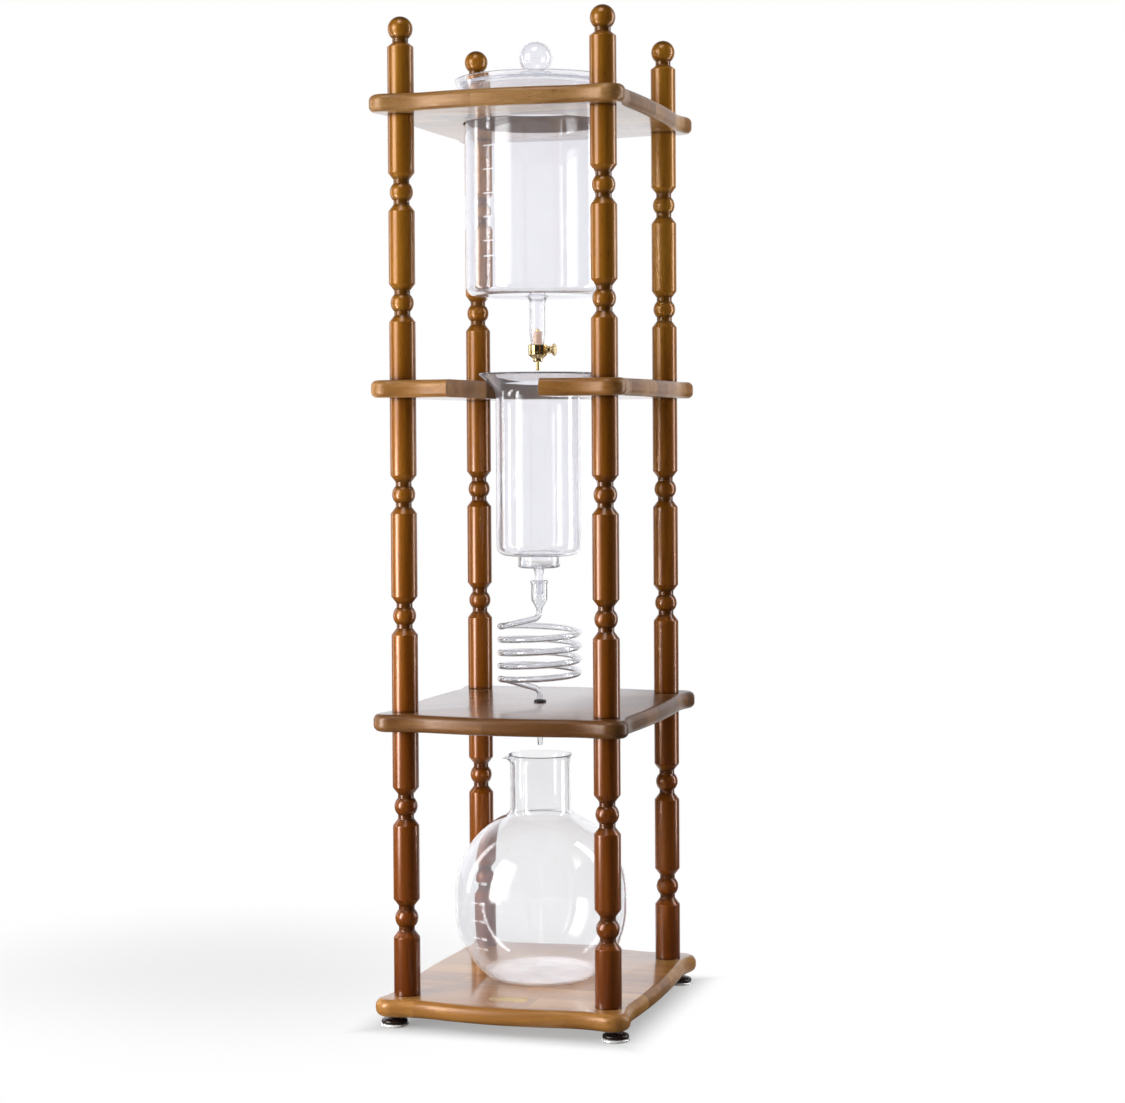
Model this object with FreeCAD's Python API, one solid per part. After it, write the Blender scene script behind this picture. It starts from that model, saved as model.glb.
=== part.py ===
import FreeCAD, Part
import math
import os

# Cold drip coffee tower: a wooden frame of four wavy boards on turned posts,
# with a glass water tank, a brass drip valve, a glass coffee chamber, a glass
# drip coil and a glass carafe hanging or standing on one vertical axis.
# Origin: on the floor, under the middle of the frame. +Z is up, -Y is the front.

Vector = FreeCAD.Vector
UP = Vector(0, 0, 1)
os.makedirs("parts", exist_ok=True)

# ---------------------------------------------------------------------------
# Driving dimensions, millimetres
# ---------------------------------------------------------------------------

# Frame
post_spacing_x = 230.0          # post axis to post axis, left to right
post_spacing_y = 254.0          # post axis to post axis, front to back
board_thickness = 19.5
foot_height = 12.5              # floor to the underside of the base board
lower_post_length = 292.0
middle_post_length = 344.0
upper_post_length = 290.0

# Outline of every board: a round lobe at each corner, a shallow dip beside it
# and a gentle bulge along the middle of each side
corner_overhang_x = 29.0        # post axis to the side edge
corner_overhang_y = 37.0        # post axis to the front or back edge
corner_radius = 19.0
dip_radius = 100.0
side_dip = 5.0
side_bulge = 4.0
front_dip = 5.0
front_bulge = 8.0
wanted_edge_round = 7.0
wanted_base_edge_round = 8.5

# Turned posts
post_diameter = 29.0
neck_diameter = 17.6
bead_diameter = 25.6
short_bead_inset = 84.5         # end of a lower or upper post to its bead's middle
long_bead_inset = 105.5         # the same on a middle post
neck_reach = 13.6               # bead's middle to the end of the straight neck
shoulder_reach = 21.0           # bead's middle to the full diameter
post_end_break = 0.6
neck_bend_round = 1.5           # at the foot and the top of each neck's slope
finial_ball_diameter = 27.5
finial_shaft_length = 54.0
finial_shoulder_rise = 4.6
finial_ball_height = 73.8       # board to the middle of the ball
finial_shoulder_round = 1.0
finial_neck_round = 1.2

# Hidden hardware: M6 studs and bolts in brass inserts
stud_radius = 3.0
thread_gap = 0.03
insert_radius = 5.0
insert_length = 14.0
stud_grip = 12.0                # length of stud inside each post
stud_bore_depth = 24.0
board_hole_gap = 0.4
bolt_head_radius = 5.2
bolt_head_height = 3.6
bolt_socket_reach = 2.9         # bolt's axis to a corner of its hexagon socket
bolt_socket_depth = 2.2
washer_radius = 6.2
washer_thickness = 1.4
counterbore_depth = 6.0
counterbore_gap = 0.6

# Levelling feet, beside the posts and nearer to the corners
foot_offset_x = 11.0
foot_offset_y = 11.0
foot_pad_radius = 15.5
foot_pad_height = 2.8
foot_pad_sole_radius = 14.3
foot_pad_sole_rise = 0.9        # floor to the pad's widest part
foot_pad_top_radius = 14.6
foot_pad_round = 0.5
foot_hub_radius = 14.3
foot_hub_sole_radius = 12.6
foot_hub_undercut = 0.8         # pad to the hub's widest part
foot_hub_rim = 2.8              # height of the hub's straight rim
foot_hub_rim_round = 1.2
foot_hub_neck_radius = 7.0
foot_hub_height = 6.0
foot_hub_round = 0.5
foot_stud_radius = 4.0
foot_stud_end_round = 0.7
foot_insert_radius = 5.6
foot_insert_cover = 4.5         # wood left above each insert
foot_bore_roof = 1.5            # wood left above the stud's blind bore
foot_stud_rest = 4.0            # insert's top to the stud's end at rest

# Glass
glass_wall = 2.6
seat_gap = 0.3                  # radial gap where a flared glass sits in its hole
rest_gap = 0.3                  # gap under a glass that stands on wood
glass_rim_flat = 0.2            # flat left between the two rounded edges of a rim
stem_tip_round = 0.5
stem_taper_round = 6.0          # where a stem starts to taper

# Water tank
tank_radius = 80.5
tank_hole_gap = 2.0
tank_rim_radius = 92.0
tank_flare_radius = 75.0
tank_flare_angle = 20.0         # degrees from upright
tank_corner_radius = 12.0
tank_stem_radius = 9.3
tank_stem_length = 54.5
tank_stem_taper_length = 14.0
tank_stem_mouth_radius = 7.6
tank_stem_wall = 1.7
tank_stem_root_round = 7.0      # outside, where the stem meets the floor
tank_drain_round = 5.0          # inside, where the floor meets the stem

# Tank lid with its hollow ball knob
lid_inset = 5.7                 # tank rim's radius less the lid's radius
lid_gap = 0.3
lid_thickness = 3.0
lid_rise = 11.0
lid_ball_radius = 18.8
lid_ball_wall = 1.5
lid_neck_radius = 8.0
lid_neck_height = 2.0
lid_neck_bore = 5.8

# Drip valve under the tank
valve_cup_radius = 10.8
valve_cup_height = 12.2
valve_taper_height = 3.6
valve_collar_radius = 5.6
valve_collar_height = 3.8
valve_spout_radius = 2.1
valve_spout_length = 9.8
valve_bore_radius = 1.1
valve_shank_radius = 2.4
valve_cup_foot_round = 1.5
valve_cup_top_round = 1.0
valve_collar_round = 0.8
valve_spout_round = 0.3
valve_shank_round = 0.4
stopper_length = 15.0
stopper_top_radius = 4.4
stopper_top_round = 0.8
shank_above_stopper = 2.6
needle_drop = 6.1               # cup's top face to the needle's axis
needle_radius = 1.5
needle_gap = 0.06
needle_tip_length = 1.8
needle_tip_radius = 0.4
needle_tip_lap = 0.2            # length over which the tip runs into the shank
needle_cover = 0.6              # knob's outer face to the needle's end
boss_radius = 3.6
boss_reach = 12.6               # valve axis to the boss's end face
boss_root = 2.0                 # length of the boss inside the cup
packing_nut_across = 8.0
packing_nut_length = 2.6
packing_ring_length = 1.6
packing_ring_radius = 2.6
knob_radius = 7.0
knob_thickness = 4.6
knob_disc_thickness = 2.4       # fluted disc at the knob's outer end
knob_hub_radius = 4.2
knob_edge_round = 0.9
knob_bore_gap = 0.2
knob_cap = 0.5                  # metal left between the bore and the outer face
knob_standoff = 1.0             # packing nut to knob
knob_flutes = 20
knob_flute_radius = 0.7
knob_flute_set_out = 0.315      # flute's axis beyond the knob's edge
knob_flute_overrun = 1.0
spout_gap = 4.2                 # chamber rim's level to the spout's tip

# Coffee chamber
chamber_radius = 48.0
chamber_slot_gap = 4.0          # each side, where the chamber passes the slot
chamber_seat_reach = 11.0       # seat hole's radius less the chamber's radius
chamber_rim_radius = 67.3
chamber_flare_radius = 22.5
chamber_flare_angle = 48.0
chamber_corner_radius = 12.0
collar_radius = 23.8
collar_height = 13.6
chamber_stem_top_radius = 6.4
chamber_stem_radius = 4.4
chamber_stem_taper = 10.0
chamber_stem_length = 30.0
chamber_stem_wall = 1.3
chamber_stem_root_round = 1.0
collar_foot_round = 3.0
collar_top_round = 1.2
collar_inner_round = 1.0
filter_gap = 0.3
filter_ring_height = 4.0
filter_ring_width = 2.6
filter_thickness = 3.2

# Drip coil
tube_radius = 3.6
tube_bore = 2.3
coil_radius = 44.2              # to the tube's centre line
coil_pitch = 14.9
coil_turns = 4.02
coil_start_angle = 205.0        # degrees from +X, where the top turn begins
coil_corner = 12.0              # tangent length of the bends at the coil's ends
axis_bend_radius = 8.0
upper_arm_rise = 9.0
lower_arm_drop = 12.5
coil_height_above_shelf = 14.0  # shelf to the middle of the lower axis bend
neck_tube_length = 10.0         # socket's foot to the middle of the upper bend
socket_radius = 9.4
socket_wall = 1.4
socket_rim_radius = 10.6
socket_rim_height = 3.0
socket_cylinder = 22.0
socket_taper = 10.0
socket_taper_round = 5.0
socket_inner_round = 4.0
socket_rim_foot_round = 0.5
socket_rim_round = 0.8
socket_insertion = 15.0         # length of chamber stem inside the socket
drip_tip_radius = 2.9
drip_tip_taper = 9.0
drip_tip_round = 0.4
drip_gap = 10.0                 # drip tip above the carafe's lip

# Grommet in the lower shelf
grommet_gap = 0.08
grommet_wall = 2.0
grommet_flange_radius = 6.9
grommet_flange_height = 2.4
grommet_flange_round = 0.8

# Carafe
carafe_side_gap = 2.9           # to each front post as it slides out
carafe_foot_radius = 52.3
carafe_foot_corner = 18.0
carafe_waist = 16.0             # straight band between the two bowls
carafe_neck_radius = 34.2
carafe_neck_fillet = 10.0
carafe_lip_reach = 1.6
carafe_lip_flare = 7.0          # height of the lip's outward curve
carafe_lip_bend_drop = 3.0      # lip to a point half way along that curve
carafe_lip_bend_reach = 0.3
carafe_headroom = 39.5          # lip to the underside of the lower shelf
carafe_spout_angle = 205.0      # degrees from +X
carafe_spout_reach = 7.5
carafe_spout_lift = 0.5         # spout's axis above the lip, at its end
carafe_spout_radius = 6.0
carafe_spout_rise = 8.0         # height of the spout's root below its end
carafe_spout_root = 10.0        # root inside the neck's outside
carafe_spout_wall = 1.82
carafe_spout_overrun = 4.0      # how far the spout's channel is cut past its end

# Blank brass plate let into the base board
plate_half_length = 22.0
plate_half_width = 11.0
plate_thickness = 1.2
plate_below_wood = 0.1
plate_gap = 0.1
plate_set_back = 46.0           # board's front edge to the plate's middle

# ---------------------------------------------------------------------------
# Levels and shared sizes worked out from the driving dimensions
# ---------------------------------------------------------------------------

base_under = foot_height
base_top = base_under + board_thickness
shelf_under = base_top + lower_post_length
shelf_top = shelf_under + board_thickness
middle_under = shelf_top + middle_post_length
middle_top = middle_under + board_thickness
top_under = middle_top + upper_post_length
top_top = top_under + board_thickness

post_radius = post_diameter / 2
neck_radius = neck_diameter / 2
bead_radius = bead_diameter / 2
ball_radius = finial_ball_diameter / 2
widest_edge_round = board_thickness / 2 - 0.5
edge_round = min(wanted_edge_round, widest_edge_round)
base_edge_round = min(wanted_base_edge_round, widest_edge_round)
post_x = post_spacing_x / 2
post_y = post_spacing_y / 2
half_width = post_x + corner_overhang_x
half_depth = post_y + corner_overhang_y
grommet_body_radius = tube_radius + grommet_gap + grommet_wall

tank_hole_radius = tank_radius + tank_hole_gap
slot_half_width = chamber_radius + chamber_slot_gap
chamber_seat_radius = chamber_radius + chamber_seat_reach

corners = {
    "front_left": (-post_x, -post_y),
    "front_right": (post_x, -post_y),
    "back_right": (post_x, post_y),
    "back_left": (-post_x, post_y),
}


foot_insert_length = board_thickness - foot_insert_cover
foot_stud_top = base_under + foot_insert_length - foot_stud_rest
foot_bore_top = base_top - foot_bore_roof
plate_top = base_top - plate_below_wood
plate_bottom = plate_top - plate_thickness


def flare_seat_rise(wall_radius, bend_radius, angle, seat_radius):
    """Height of the point at seat_radius above the corner of a flare's outline."""
    lean = math.radians(angle)
    reach = seat_radius - wall_radius
    if reach > bend_radius * (1 - math.cos(lean)):
        return reach / math.tan(lean)
    bend_start = -bend_radius * math.tan(lean / 2)
    return bend_start + math.sqrt(2 * bend_radius * reach - reach ** 2)


def flare_rim_rise(wall_radius, angle, rim_radius):
    """Height of the rim above the corner of a flare's outline."""
    return (rim_radius - wall_radius) / math.tan(math.radians(angle))


chamber_flare_z = middle_top - flare_seat_rise(
    chamber_radius, chamber_flare_radius, chamber_flare_angle,
    chamber_seat_radius - seat_gap)
chamber_rim_z = chamber_flare_z + flare_rim_rise(
    chamber_radius, chamber_flare_angle, chamber_rim_radius)
tank_flare_z = top_top - flare_seat_rise(
    tank_radius, tank_flare_radius, tank_flare_angle, tank_hole_radius - seat_gap)
tank_rim_z = tank_flare_z + flare_rim_rise(tank_radius, tank_flare_angle, tank_rim_radius)

spout_tip_z = chamber_rim_z + spout_gap
valve_collar_z = spout_tip_z + valve_spout_length
valve_taper_z = valve_collar_z + valve_collar_height
valve_cup_z = valve_taper_z + valve_taper_height
valve_top_z = valve_cup_z + valve_cup_height
needle_z = valve_top_z - needle_drop
tank_floor_z = valve_top_z + tank_stem_length

coil_bottom_bend_z = shelf_top + coil_height_above_shelf
coil_bottom_z = coil_bottom_bend_z + lower_arm_drop
coil_top_z = coil_bottom_z + coil_pitch * coil_turns
coil_top_bend_z = coil_top_z + upper_arm_rise
socket_foot_z = coil_top_bend_z + neck_tube_length
socket_shoulder_z = socket_foot_z + socket_taper
socket_top_z = socket_shoulder_z + socket_cylinder
stem_tip_z = socket_top_z - socket_insertion
collar_z = stem_tip_z + chamber_stem_length
chamber_floor_z = collar_z + collar_height

carafe_foot_z = base_top + rest_gap
carafe_lip_z = shelf_under - carafe_headroom
carafe_radius = post_x - post_radius - carafe_side_gap
drip_tip_z = carafe_lip_z + drip_gap


# ---------------------------------------------------------------------------
# Drawing helpers
# ---------------------------------------------------------------------------

def save(node, *solids):
    """Write one node: a single solid, or a group of separate ones."""
    shape = solids[0] if len(solids) == 1 else Part.makeCompound(list(solids))
    shape.exportStep("parts/" + node + ".step")


def outline_edges(points):
    """Closed outline in the XZ plane.

    (r, z) is a sharp corner, (r, z, radius) a rounded one, and
    (r_mid, z_mid, r, z) an arc through the first point to the second.
    """
    def end_of(point):
        return Vector(point[-2], 0, point[-1]) if len(point) == 4 else Vector(point[0], 0, point[1])

    edges = []
    first = None
    here = None
    count = len(points)

    def line_to(target):
        if here is not None and (target - here).Length > 1e-6:
            edges.append(Part.LineSegment(here, target).toShape())

    for index, point in enumerate(points):
        if len(point) == 4:
            middle = Vector(point[0], 0, point[1])
            target = end_of(point)
            edges.append(Part.Arc(here, middle, target).toShape())
            here = target
            continue
        corner = Vector(point[0], 0, point[1])
        if len(point) == 2:
            line_to(corner)
            here = corner
            first = first or here
            continue
        back = (end_of(points[index - 1]) - corner).normalize()
        ahead = (end_of(points[(index + 1) % count]) - corner).normalize()
        half = back.getAngle(ahead) / 2
        radius = point[2]
        run = radius / math.tan(half)
        start = corner + back * run
        finish = corner + ahead * run
        middle = corner + (back + ahead).normalize() * (radius / math.sin(half) - radius)
        line_to(start)
        edges.append(Part.Arc(start, middle, finish).toShape())
        here = finish
        first = first or start
    line_to(first)
    return edges


def turned(points):
    """Solid of revolution about Z from an outline in (radius, height)."""
    face = Part.Face(Part.Wire(outline_edges(points)))
    return face.revolve(Vector(0, 0, 0), UP, 360)


def moved(shape, x, y, z):
    placed = shape.copy()
    placed.translate(Vector(x, y, z))
    return placed


def cylinder(radius, bottom, top, x=0.0, y=0.0):
    return Part.makeCylinder(radius, top - bottom, Vector(x, y, bottom), UP)


def ring(outer, inner, bottom, top, x=0.0, y=0.0):
    return cylinder(outer, bottom, top, x, y).cut(cylinder(inner, bottom, top, x, y))


def polar(angle, radius, z=0.0):
    turn = math.radians(angle)
    return Vector(radius * math.cos(turn), radius * math.sin(turn), z)


# ---------------------------------------------------------------------------
# Boards
# ---------------------------------------------------------------------------

def toward(start, end, distance):
    return start + (end - start).normalize() * distance


def side_wave(along, out, lobe_u, lobe_v, dip, bulge):
    """Edges of one side between its two corner lobes, and its two end points.

    u runs along the side from its middle, v runs outwards from the board's centre.
    """
    def place(u, v):
        return along * u + out * v

    lobe_edge = lobe_v + corner_radius
    both = dip_radius + corner_radius
    dip_u = lobe_u - math.sqrt(both ** 2 - (both - dip) ** 2)
    dip_v = lobe_edge - dip + dip_radius
    bulge_radius = (dip_u ** 2 + bulge ** 2) / (2 * bulge) - dip_radius
    middle_v = lobe_edge - dip + bulge - bulge_radius
    middle_centre = place(0, middle_v)
    apex = place(0, middle_v + bulge_radius)
    joints = {}
    arcs = []
    for way in (-1, 1):
        lobe_centre = place(way * lobe_u, lobe_v)
        dip_centre = place(way * dip_u, dip_v)
        outer_joint = toward(lobe_centre, dip_centre, corner_radius)
        inner_joint = toward(middle_centre, dip_centre, bulge_radius)
        hollow = toward(dip_centre, (outer_joint + inner_joint) / 2, dip_radius)
        arcs.append(Part.Arc(outer_joint, hollow, inner_joint).toShape())
        joints[way] = (outer_joint, inner_joint)
    arcs.append(Part.Arc(joints[-1][1], apex, joints[1][1]).toShape())
    return arcs, joints[-1][0], joints[1][0]


def board_blank(bottom, rounding):
    """A board with its wavy outline and rounded edges, before any holes."""
    lobe_x = half_width - corner_radius
    lobe_y = half_depth - corner_radius
    east, north = Vector(1, 0, 0), Vector(0, 1, 0)
    sides = [
        side_wave(north, east, lobe_y, lobe_x, side_dip, side_bulge),
        side_wave(east * -1, north, lobe_x, lobe_y, front_dip, front_bulge),
        side_wave(north * -1, east * -1, lobe_y, lobe_x, side_dip, side_bulge),
        side_wave(east, north * -1, lobe_x, lobe_y, front_dip, front_bulge),
    ]
    lobe_centres = [(lobe_x, lobe_y), (-lobe_x, lobe_y), (-lobe_x, -lobe_y), (lobe_x, -lobe_y)]
    edges = []
    for index, (arcs, start, end) in enumerate(sides):
        edges += arcs
        next_start = sides[(index + 1) % 4][1]
        centre = Vector(*lobe_centres[index], 0)
        tip = toward(centre, (end + next_start) / 2, corner_radius)
        edges.append(Part.Arc(end, tip, next_start).toShape())
    outline = Part.Wire(Part.sortEdges(edges)[0])
    board = Part.Face(outline).extrude(UP * board_thickness)
    level = [edge for edge in board.Edges if edge.BoundBox.ZLength < 1e-6]
    board = board.makeFillet(rounding, level)
    return moved(board, 0, 0, bottom)


def stud_holes(bottom, top):
    return [cylinder(stud_radius + board_hole_gap, bottom, top, x, y) for x, y in corners.values()]


def foot_centres():
    """Levelling foot axes, each on the outer side of its post."""
    for name, (x, y) in corners.items():
        yield name, x + math.copysign(foot_offset_x, x), y + math.copysign(foot_offset_y, y)


def plate_outline(grow, bottom, top):
    """Stadium-ended block for the brass plate, or with grow for its recess."""
    middle_y = -(half_depth - front_dip + front_bulge) + plate_set_back
    radius = plate_half_width + grow
    straight = plate_half_length - plate_half_width
    block = Part.makeBox(2 * straight, 2 * radius, top - bottom,
                         Vector(-straight, middle_y - radius, bottom))
    ends = [cylinder(radius, bottom, top, side * straight, middle_y) for side in (-1, 1)]
    return block.fuse(ends).removeSplitter()


def make_base_plate():
    cuts = stud_holes(base_under, base_top)
    for x, y in corners.values():
        cuts.append(cylinder(washer_radius + counterbore_gap, base_under,
                             base_under + counterbore_depth, x, y))
    for _, x, y in foot_centres():
        cuts.append(cylinder(foot_insert_radius, base_under, base_under + foot_insert_length, x, y))
        cuts.append(cylinder(foot_stud_radius + board_hole_gap, base_under, foot_bore_top, x, y))
    cuts.append(plate_outline(plate_gap, plate_bottom, base_top))
    return board_blank(base_under, base_edge_round).cut(cuts)


def make_lower_shelf():
    cuts = stud_holes(shelf_under, shelf_top)
    cuts.append(cylinder(grommet_body_radius + grommet_gap, shelf_under, shelf_top))
    return board_blank(shelf_under, edge_round).cut(cuts)


def make_middle_plate():
    cuts = stud_holes(middle_under, middle_top)
    cuts.append(cylinder(chamber_seat_radius, middle_under, middle_top))
    reach = half_depth + front_bulge
    cuts.append(Part.makeBox(2 * slot_half_width, reach, board_thickness,
                             Vector(-slot_half_width, -reach, middle_under)))
    return board_blank(middle_under, edge_round).cut(cuts)


def make_top_plate():
    cuts = stud_holes(top_under, top_top)
    cuts.append(cylinder(tank_hole_radius, top_under, top_top))
    return board_blank(top_under, edge_round).cut(cuts)


save("base_plate", make_base_plate())
save("lower_shelf", make_lower_shelf())
save("middle_plate", make_middle_plate())
save("top_plate", make_top_plate())
save("name_plate", plate_outline(0, plate_bottom, plate_top))


# ---------------------------------------------------------------------------
# Turned posts and finials
# ---------------------------------------------------------------------------

def bead(middle):
    """Outline steps of one bead between its two necks and shoulders."""
    half = math.sqrt(bead_radius ** 2 - neck_radius ** 2)
    return [
        (post_radius, middle - shoulder_reach, neck_bend_round),
        (neck_radius, middle - neck_reach, neck_bend_round),
        (neck_radius, middle - half),
        (bead_radius, middle, neck_radius, middle + half),
        (neck_radius, middle + neck_reach, neck_bend_round),
        (post_radius, middle + shoulder_reach, neck_bend_round),
    ]


def bore_steps(end, inward):
    """Stepped bore for the insert and the stud, from a post's end face inwards."""
    clear = stud_radius + board_hole_gap
    return [
        (insert_radius, end),
        (insert_radius, end + inward * insert_length),
        (clear, end + inward * insert_length),
        (clear, end + inward * stud_bore_depth),
        (0, end + inward * stud_bore_depth),
    ]


def make_post(length, inset):
    lower_bore = bore_steps(0, 1)
    upper_bore = bore_steps(length, -1)
    outside = [(post_radius, 0, post_end_break)]
    outside += bead(inset) + bead(length - inset)
    outside += [(post_radius, length, post_end_break)]
    return turned(lower_bore[::-1] + outside + upper_bore)


def make_finial():
    ball_foot = finial_ball_height - math.sqrt(ball_radius ** 2 - neck_radius ** 2)
    outside = [
        (post_radius, 0, post_end_break),
        (post_radius, finial_shaft_length, finial_shoulder_round),
        (neck_radius, finial_shaft_length + finial_shoulder_rise, finial_neck_round),
        (neck_radius, ball_foot),
        (ball_radius, finial_ball_height, 0, finial_ball_height + ball_radius),
    ]
    return turned(bore_steps(0, 1)[::-1] + outside)


post_rows = (
    ("lower_post", base_top, lower_post_length, short_bead_inset),
    ("middle_post", shelf_top, middle_post_length, long_bead_inset),
    ("upper_post", middle_top, upper_post_length, short_bead_inset),
)
for row, bottom, length, inset in post_rows:
    pattern = make_post(length, inset)
    for corner, (x, y) in corners.items():
        save(row + "_" + corner, moved(pattern, x, y, bottom))

finial = make_finial()
for corner, (x, y) in corners.items():
    save("finial_" + corner, moved(finial, x, y, top_top))


# ---------------------------------------------------------------------------
# Studs, bolts and inserts that hold the frame together
# ---------------------------------------------------------------------------

def at_every_post(shape):
    return [moved(shape, x, y, 0) for x, y in corners.values()]


def board_stud(bottom, top):
    return cylinder(stud_radius - thread_gap, bottom - stud_grip, top + stud_grip)


def base_bolt():
    roof = base_under + counterbore_depth
    head_top = roof - washer_thickness
    head = cylinder(bolt_head_radius, head_top - bolt_head_height, head_top)
    shank = cylinder(stud_radius - thread_gap, head_top, base_top + stud_grip)
    socket = Part.Face(Part.makePolygon(
        [polar(60 * step, bolt_socket_reach, head_top - bolt_head_height) for step in range(7)]))
    return head.fuse(shank).cut(socket.extrude(UP * bolt_socket_depth))


def base_washer():
    roof = base_under + counterbore_depth
    return ring(washer_radius, stud_radius + board_hole_gap, roof - washer_thickness, roof)


def post_insert(end, inward):
    low, high = sorted((end, end + inward * insert_length))
    return ring(insert_radius - thread_gap, stud_radius, low, high)


insert_ends = [
    (base_top, 1), (shelf_under, -1), (shelf_top, 1), (middle_under, -1),
    (middle_top, 1), (top_under, -1), (top_top, 1),
]
inserts = []
for end, inward in insert_ends:
    inserts += at_every_post(post_insert(end, inward))

save("base_bolts", *at_every_post(base_bolt()))
save("base_washers", *at_every_post(base_washer()))
save("shelf_studs", *at_every_post(board_stud(shelf_under, shelf_top)))
save("middle_studs", *at_every_post(board_stud(middle_under, middle_top)))
save("top_studs", *at_every_post(board_stud(top_under, top_top)))
save("post_inserts", *inserts)


# ---------------------------------------------------------------------------
# Levelling feet
# ---------------------------------------------------------------------------

def make_foot_pad():
    return turned([
        (0, 0),
        (foot_pad_sole_radius, 0, foot_pad_round),
        (foot_pad_radius, foot_pad_sole_rise, foot_pad_round),
        (foot_pad_top_radius, foot_pad_height, foot_pad_round),
        (0, foot_pad_height),
    ])


def make_foot_hub():
    top = foot_pad_height + foot_hub_height
    rim = foot_pad_height + foot_hub_undercut
    bore = foot_stud_radius + thread_gap
    return turned([
        (bore, foot_pad_height),
        (foot_hub_sole_radius, foot_pad_height),
        (foot_hub_radius, rim, foot_hub_round),
        (foot_hub_radius, rim + foot_hub_rim, foot_hub_rim_round),
        (foot_hub_neck_radius, top, foot_hub_round),
        (bore, top),
    ])


def make_foot_stud():
    radius = foot_stud_radius - thread_gap
    return turned([
        (0, foot_pad_height),
        (radius, foot_pad_height),
        (radius, foot_stud_top, foot_stud_end_round),
        (0, foot_stud_top),
    ])


foot_inserts = []
for corner, x, y in foot_centres():
    save("foot_pad_" + corner, moved(make_foot_pad(), x, y, 0))
    save("foot_hub_" + corner, moved(make_foot_hub(), x, y, 0))
    save("foot_stud_" + corner, moved(make_foot_stud(), x, y, 0))
    foot_inserts.append(ring(foot_insert_radius - thread_gap, foot_stud_radius,
                             base_under, base_under + foot_insert_length, x, y))
save("foot_inserts", *foot_inserts)


# ---------------------------------------------------------------------------
# Glass vessels that hang by a flared rim
# ---------------------------------------------------------------------------

def flared_wall(radius, corner_z, bend_radius, angle, rim_radius, wall):
    """Outline steps up the outside of a flared wall, over its rim and down the inside."""
    lean = math.radians(angle)
    rim_z = corner_z + flare_rim_rise(radius, angle, rim_radius)
    edge = (wall - glass_rim_flat) / 2
    return [
        (radius, corner_z, bend_radius),
        (rim_radius, rim_z, edge),
        (rim_radius - wall * math.cos(lean), rim_z + wall * math.sin(lean), edge),
        (radius - wall, corner_z + wall * math.tan(lean / 2), bend_radius + wall),
    ]


def make_water_tank():
    floor = tank_floor_z
    foot = valve_top_z
    taper = foot + tank_stem_taper_length
    bore = tank_stem_radius - tank_stem_wall
    outside = [
        (tank_stem_mouth_radius, foot, stem_tip_round),
        (tank_stem_radius, taper, stem_taper_round),
        (tank_stem_radius, floor, tank_stem_root_round),
        (tank_radius, floor, tank_corner_radius),
    ]
    inside = [
        (tank_radius - glass_wall, floor + glass_wall, tank_corner_radius - glass_wall),
        (bore, floor + glass_wall, tank_drain_round),
        (bore, taper, stem_taper_round),
        (tank_stem_mouth_radius - tank_stem_wall, foot, stem_tip_round),
    ]
    wall = flared_wall(tank_radius, tank_flare_z, tank_flare_radius,
                       tank_flare_angle, tank_rim_radius, glass_wall)
    return turned(outside + wall + inside)


def inner_cone_height(radius):
    """Height at which the inside of the tank's flare has this radius."""
    lean = math.radians(tank_flare_angle)
    rim_inner = tank_rim_radius - glass_wall * math.cos(lean)
    rim_height = tank_rim_z + glass_wall * math.sin(lean)
    return rim_height - (rim_inner - radius) / math.tan(lean)


lid_radius = tank_rim_radius - lid_inset
lid_foot_z = inner_cone_height(lid_radius + lid_gap)
lid_dome_radius = (lid_radius ** 2 + lid_rise ** 2) / (2 * lid_rise)


def dome_height(radius):
    """Height of the lid's underside above the lid's foot."""
    drop = lid_dome_radius - math.sqrt(lid_dome_radius ** 2 - radius ** 2)
    return lid_rise - drop


def make_tank_lid():
    half_way = lid_radius / 2
    under = lid_foot_z
    over = lid_foot_z + lid_thickness
    neck_foot = over + dome_height(lid_neck_radius)
    ball_z = neck_foot + lid_neck_height + math.sqrt(lid_ball_radius ** 2 - lid_neck_radius ** 2)
    hollow = lid_ball_radius - lid_ball_wall
    hollow_foot = ball_z - math.sqrt(hollow ** 2 - lid_neck_bore ** 2)
    return turned([
        (lid_radius, under),
        (lid_radius, over),
        (half_way, over + dome_height(half_way), lid_neck_radius, neck_foot),
        (lid_neck_radius, neck_foot + lid_neck_height),
        (lid_ball_radius, ball_z, 0, ball_z + lid_ball_radius),
        (0, ball_z + hollow),
        (hollow, ball_z, lid_neck_bore, hollow_foot),
        (lid_neck_bore, under + dome_height(lid_neck_bore)),
        (half_way, under + dome_height(half_way), lid_radius, under),
    ])


def make_coffee_chamber():
    wall = glass_wall
    floor = chamber_floor_z
    stem_shoulder = collar_z - chamber_stem_taper
    stem_bore = chamber_stem_radius - chamber_stem_wall
    outside = [
        (chamber_stem_radius, stem_tip_z, stem_tip_round),
        (chamber_stem_radius, stem_shoulder, stem_taper_round),
        (chamber_stem_top_radius, collar_z, chamber_stem_root_round),
        (collar_radius, collar_z, collar_foot_round),
        (collar_radius, floor, collar_top_round),
        (chamber_radius, floor, chamber_corner_radius),
    ]
    inside = [
        (chamber_radius - wall, floor + wall, chamber_corner_radius - wall),
        (collar_radius - wall, floor + wall, collar_inner_round),
        (collar_radius - wall, collar_z + wall, collar_inner_round),
        (stem_bore, collar_z + wall, collar_inner_round),
        (stem_bore, stem_tip_z, stem_tip_round),
    ]
    flare = flared_wall(chamber_radius, chamber_flare_z, chamber_flare_radius,
                        chamber_flare_angle, chamber_rim_radius, wall)
    return turned(outside + flare + inside)


filter_seat_z = collar_z + glass_wall + rest_gap
filter_outer_radius = collar_radius - glass_wall - filter_gap


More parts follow.
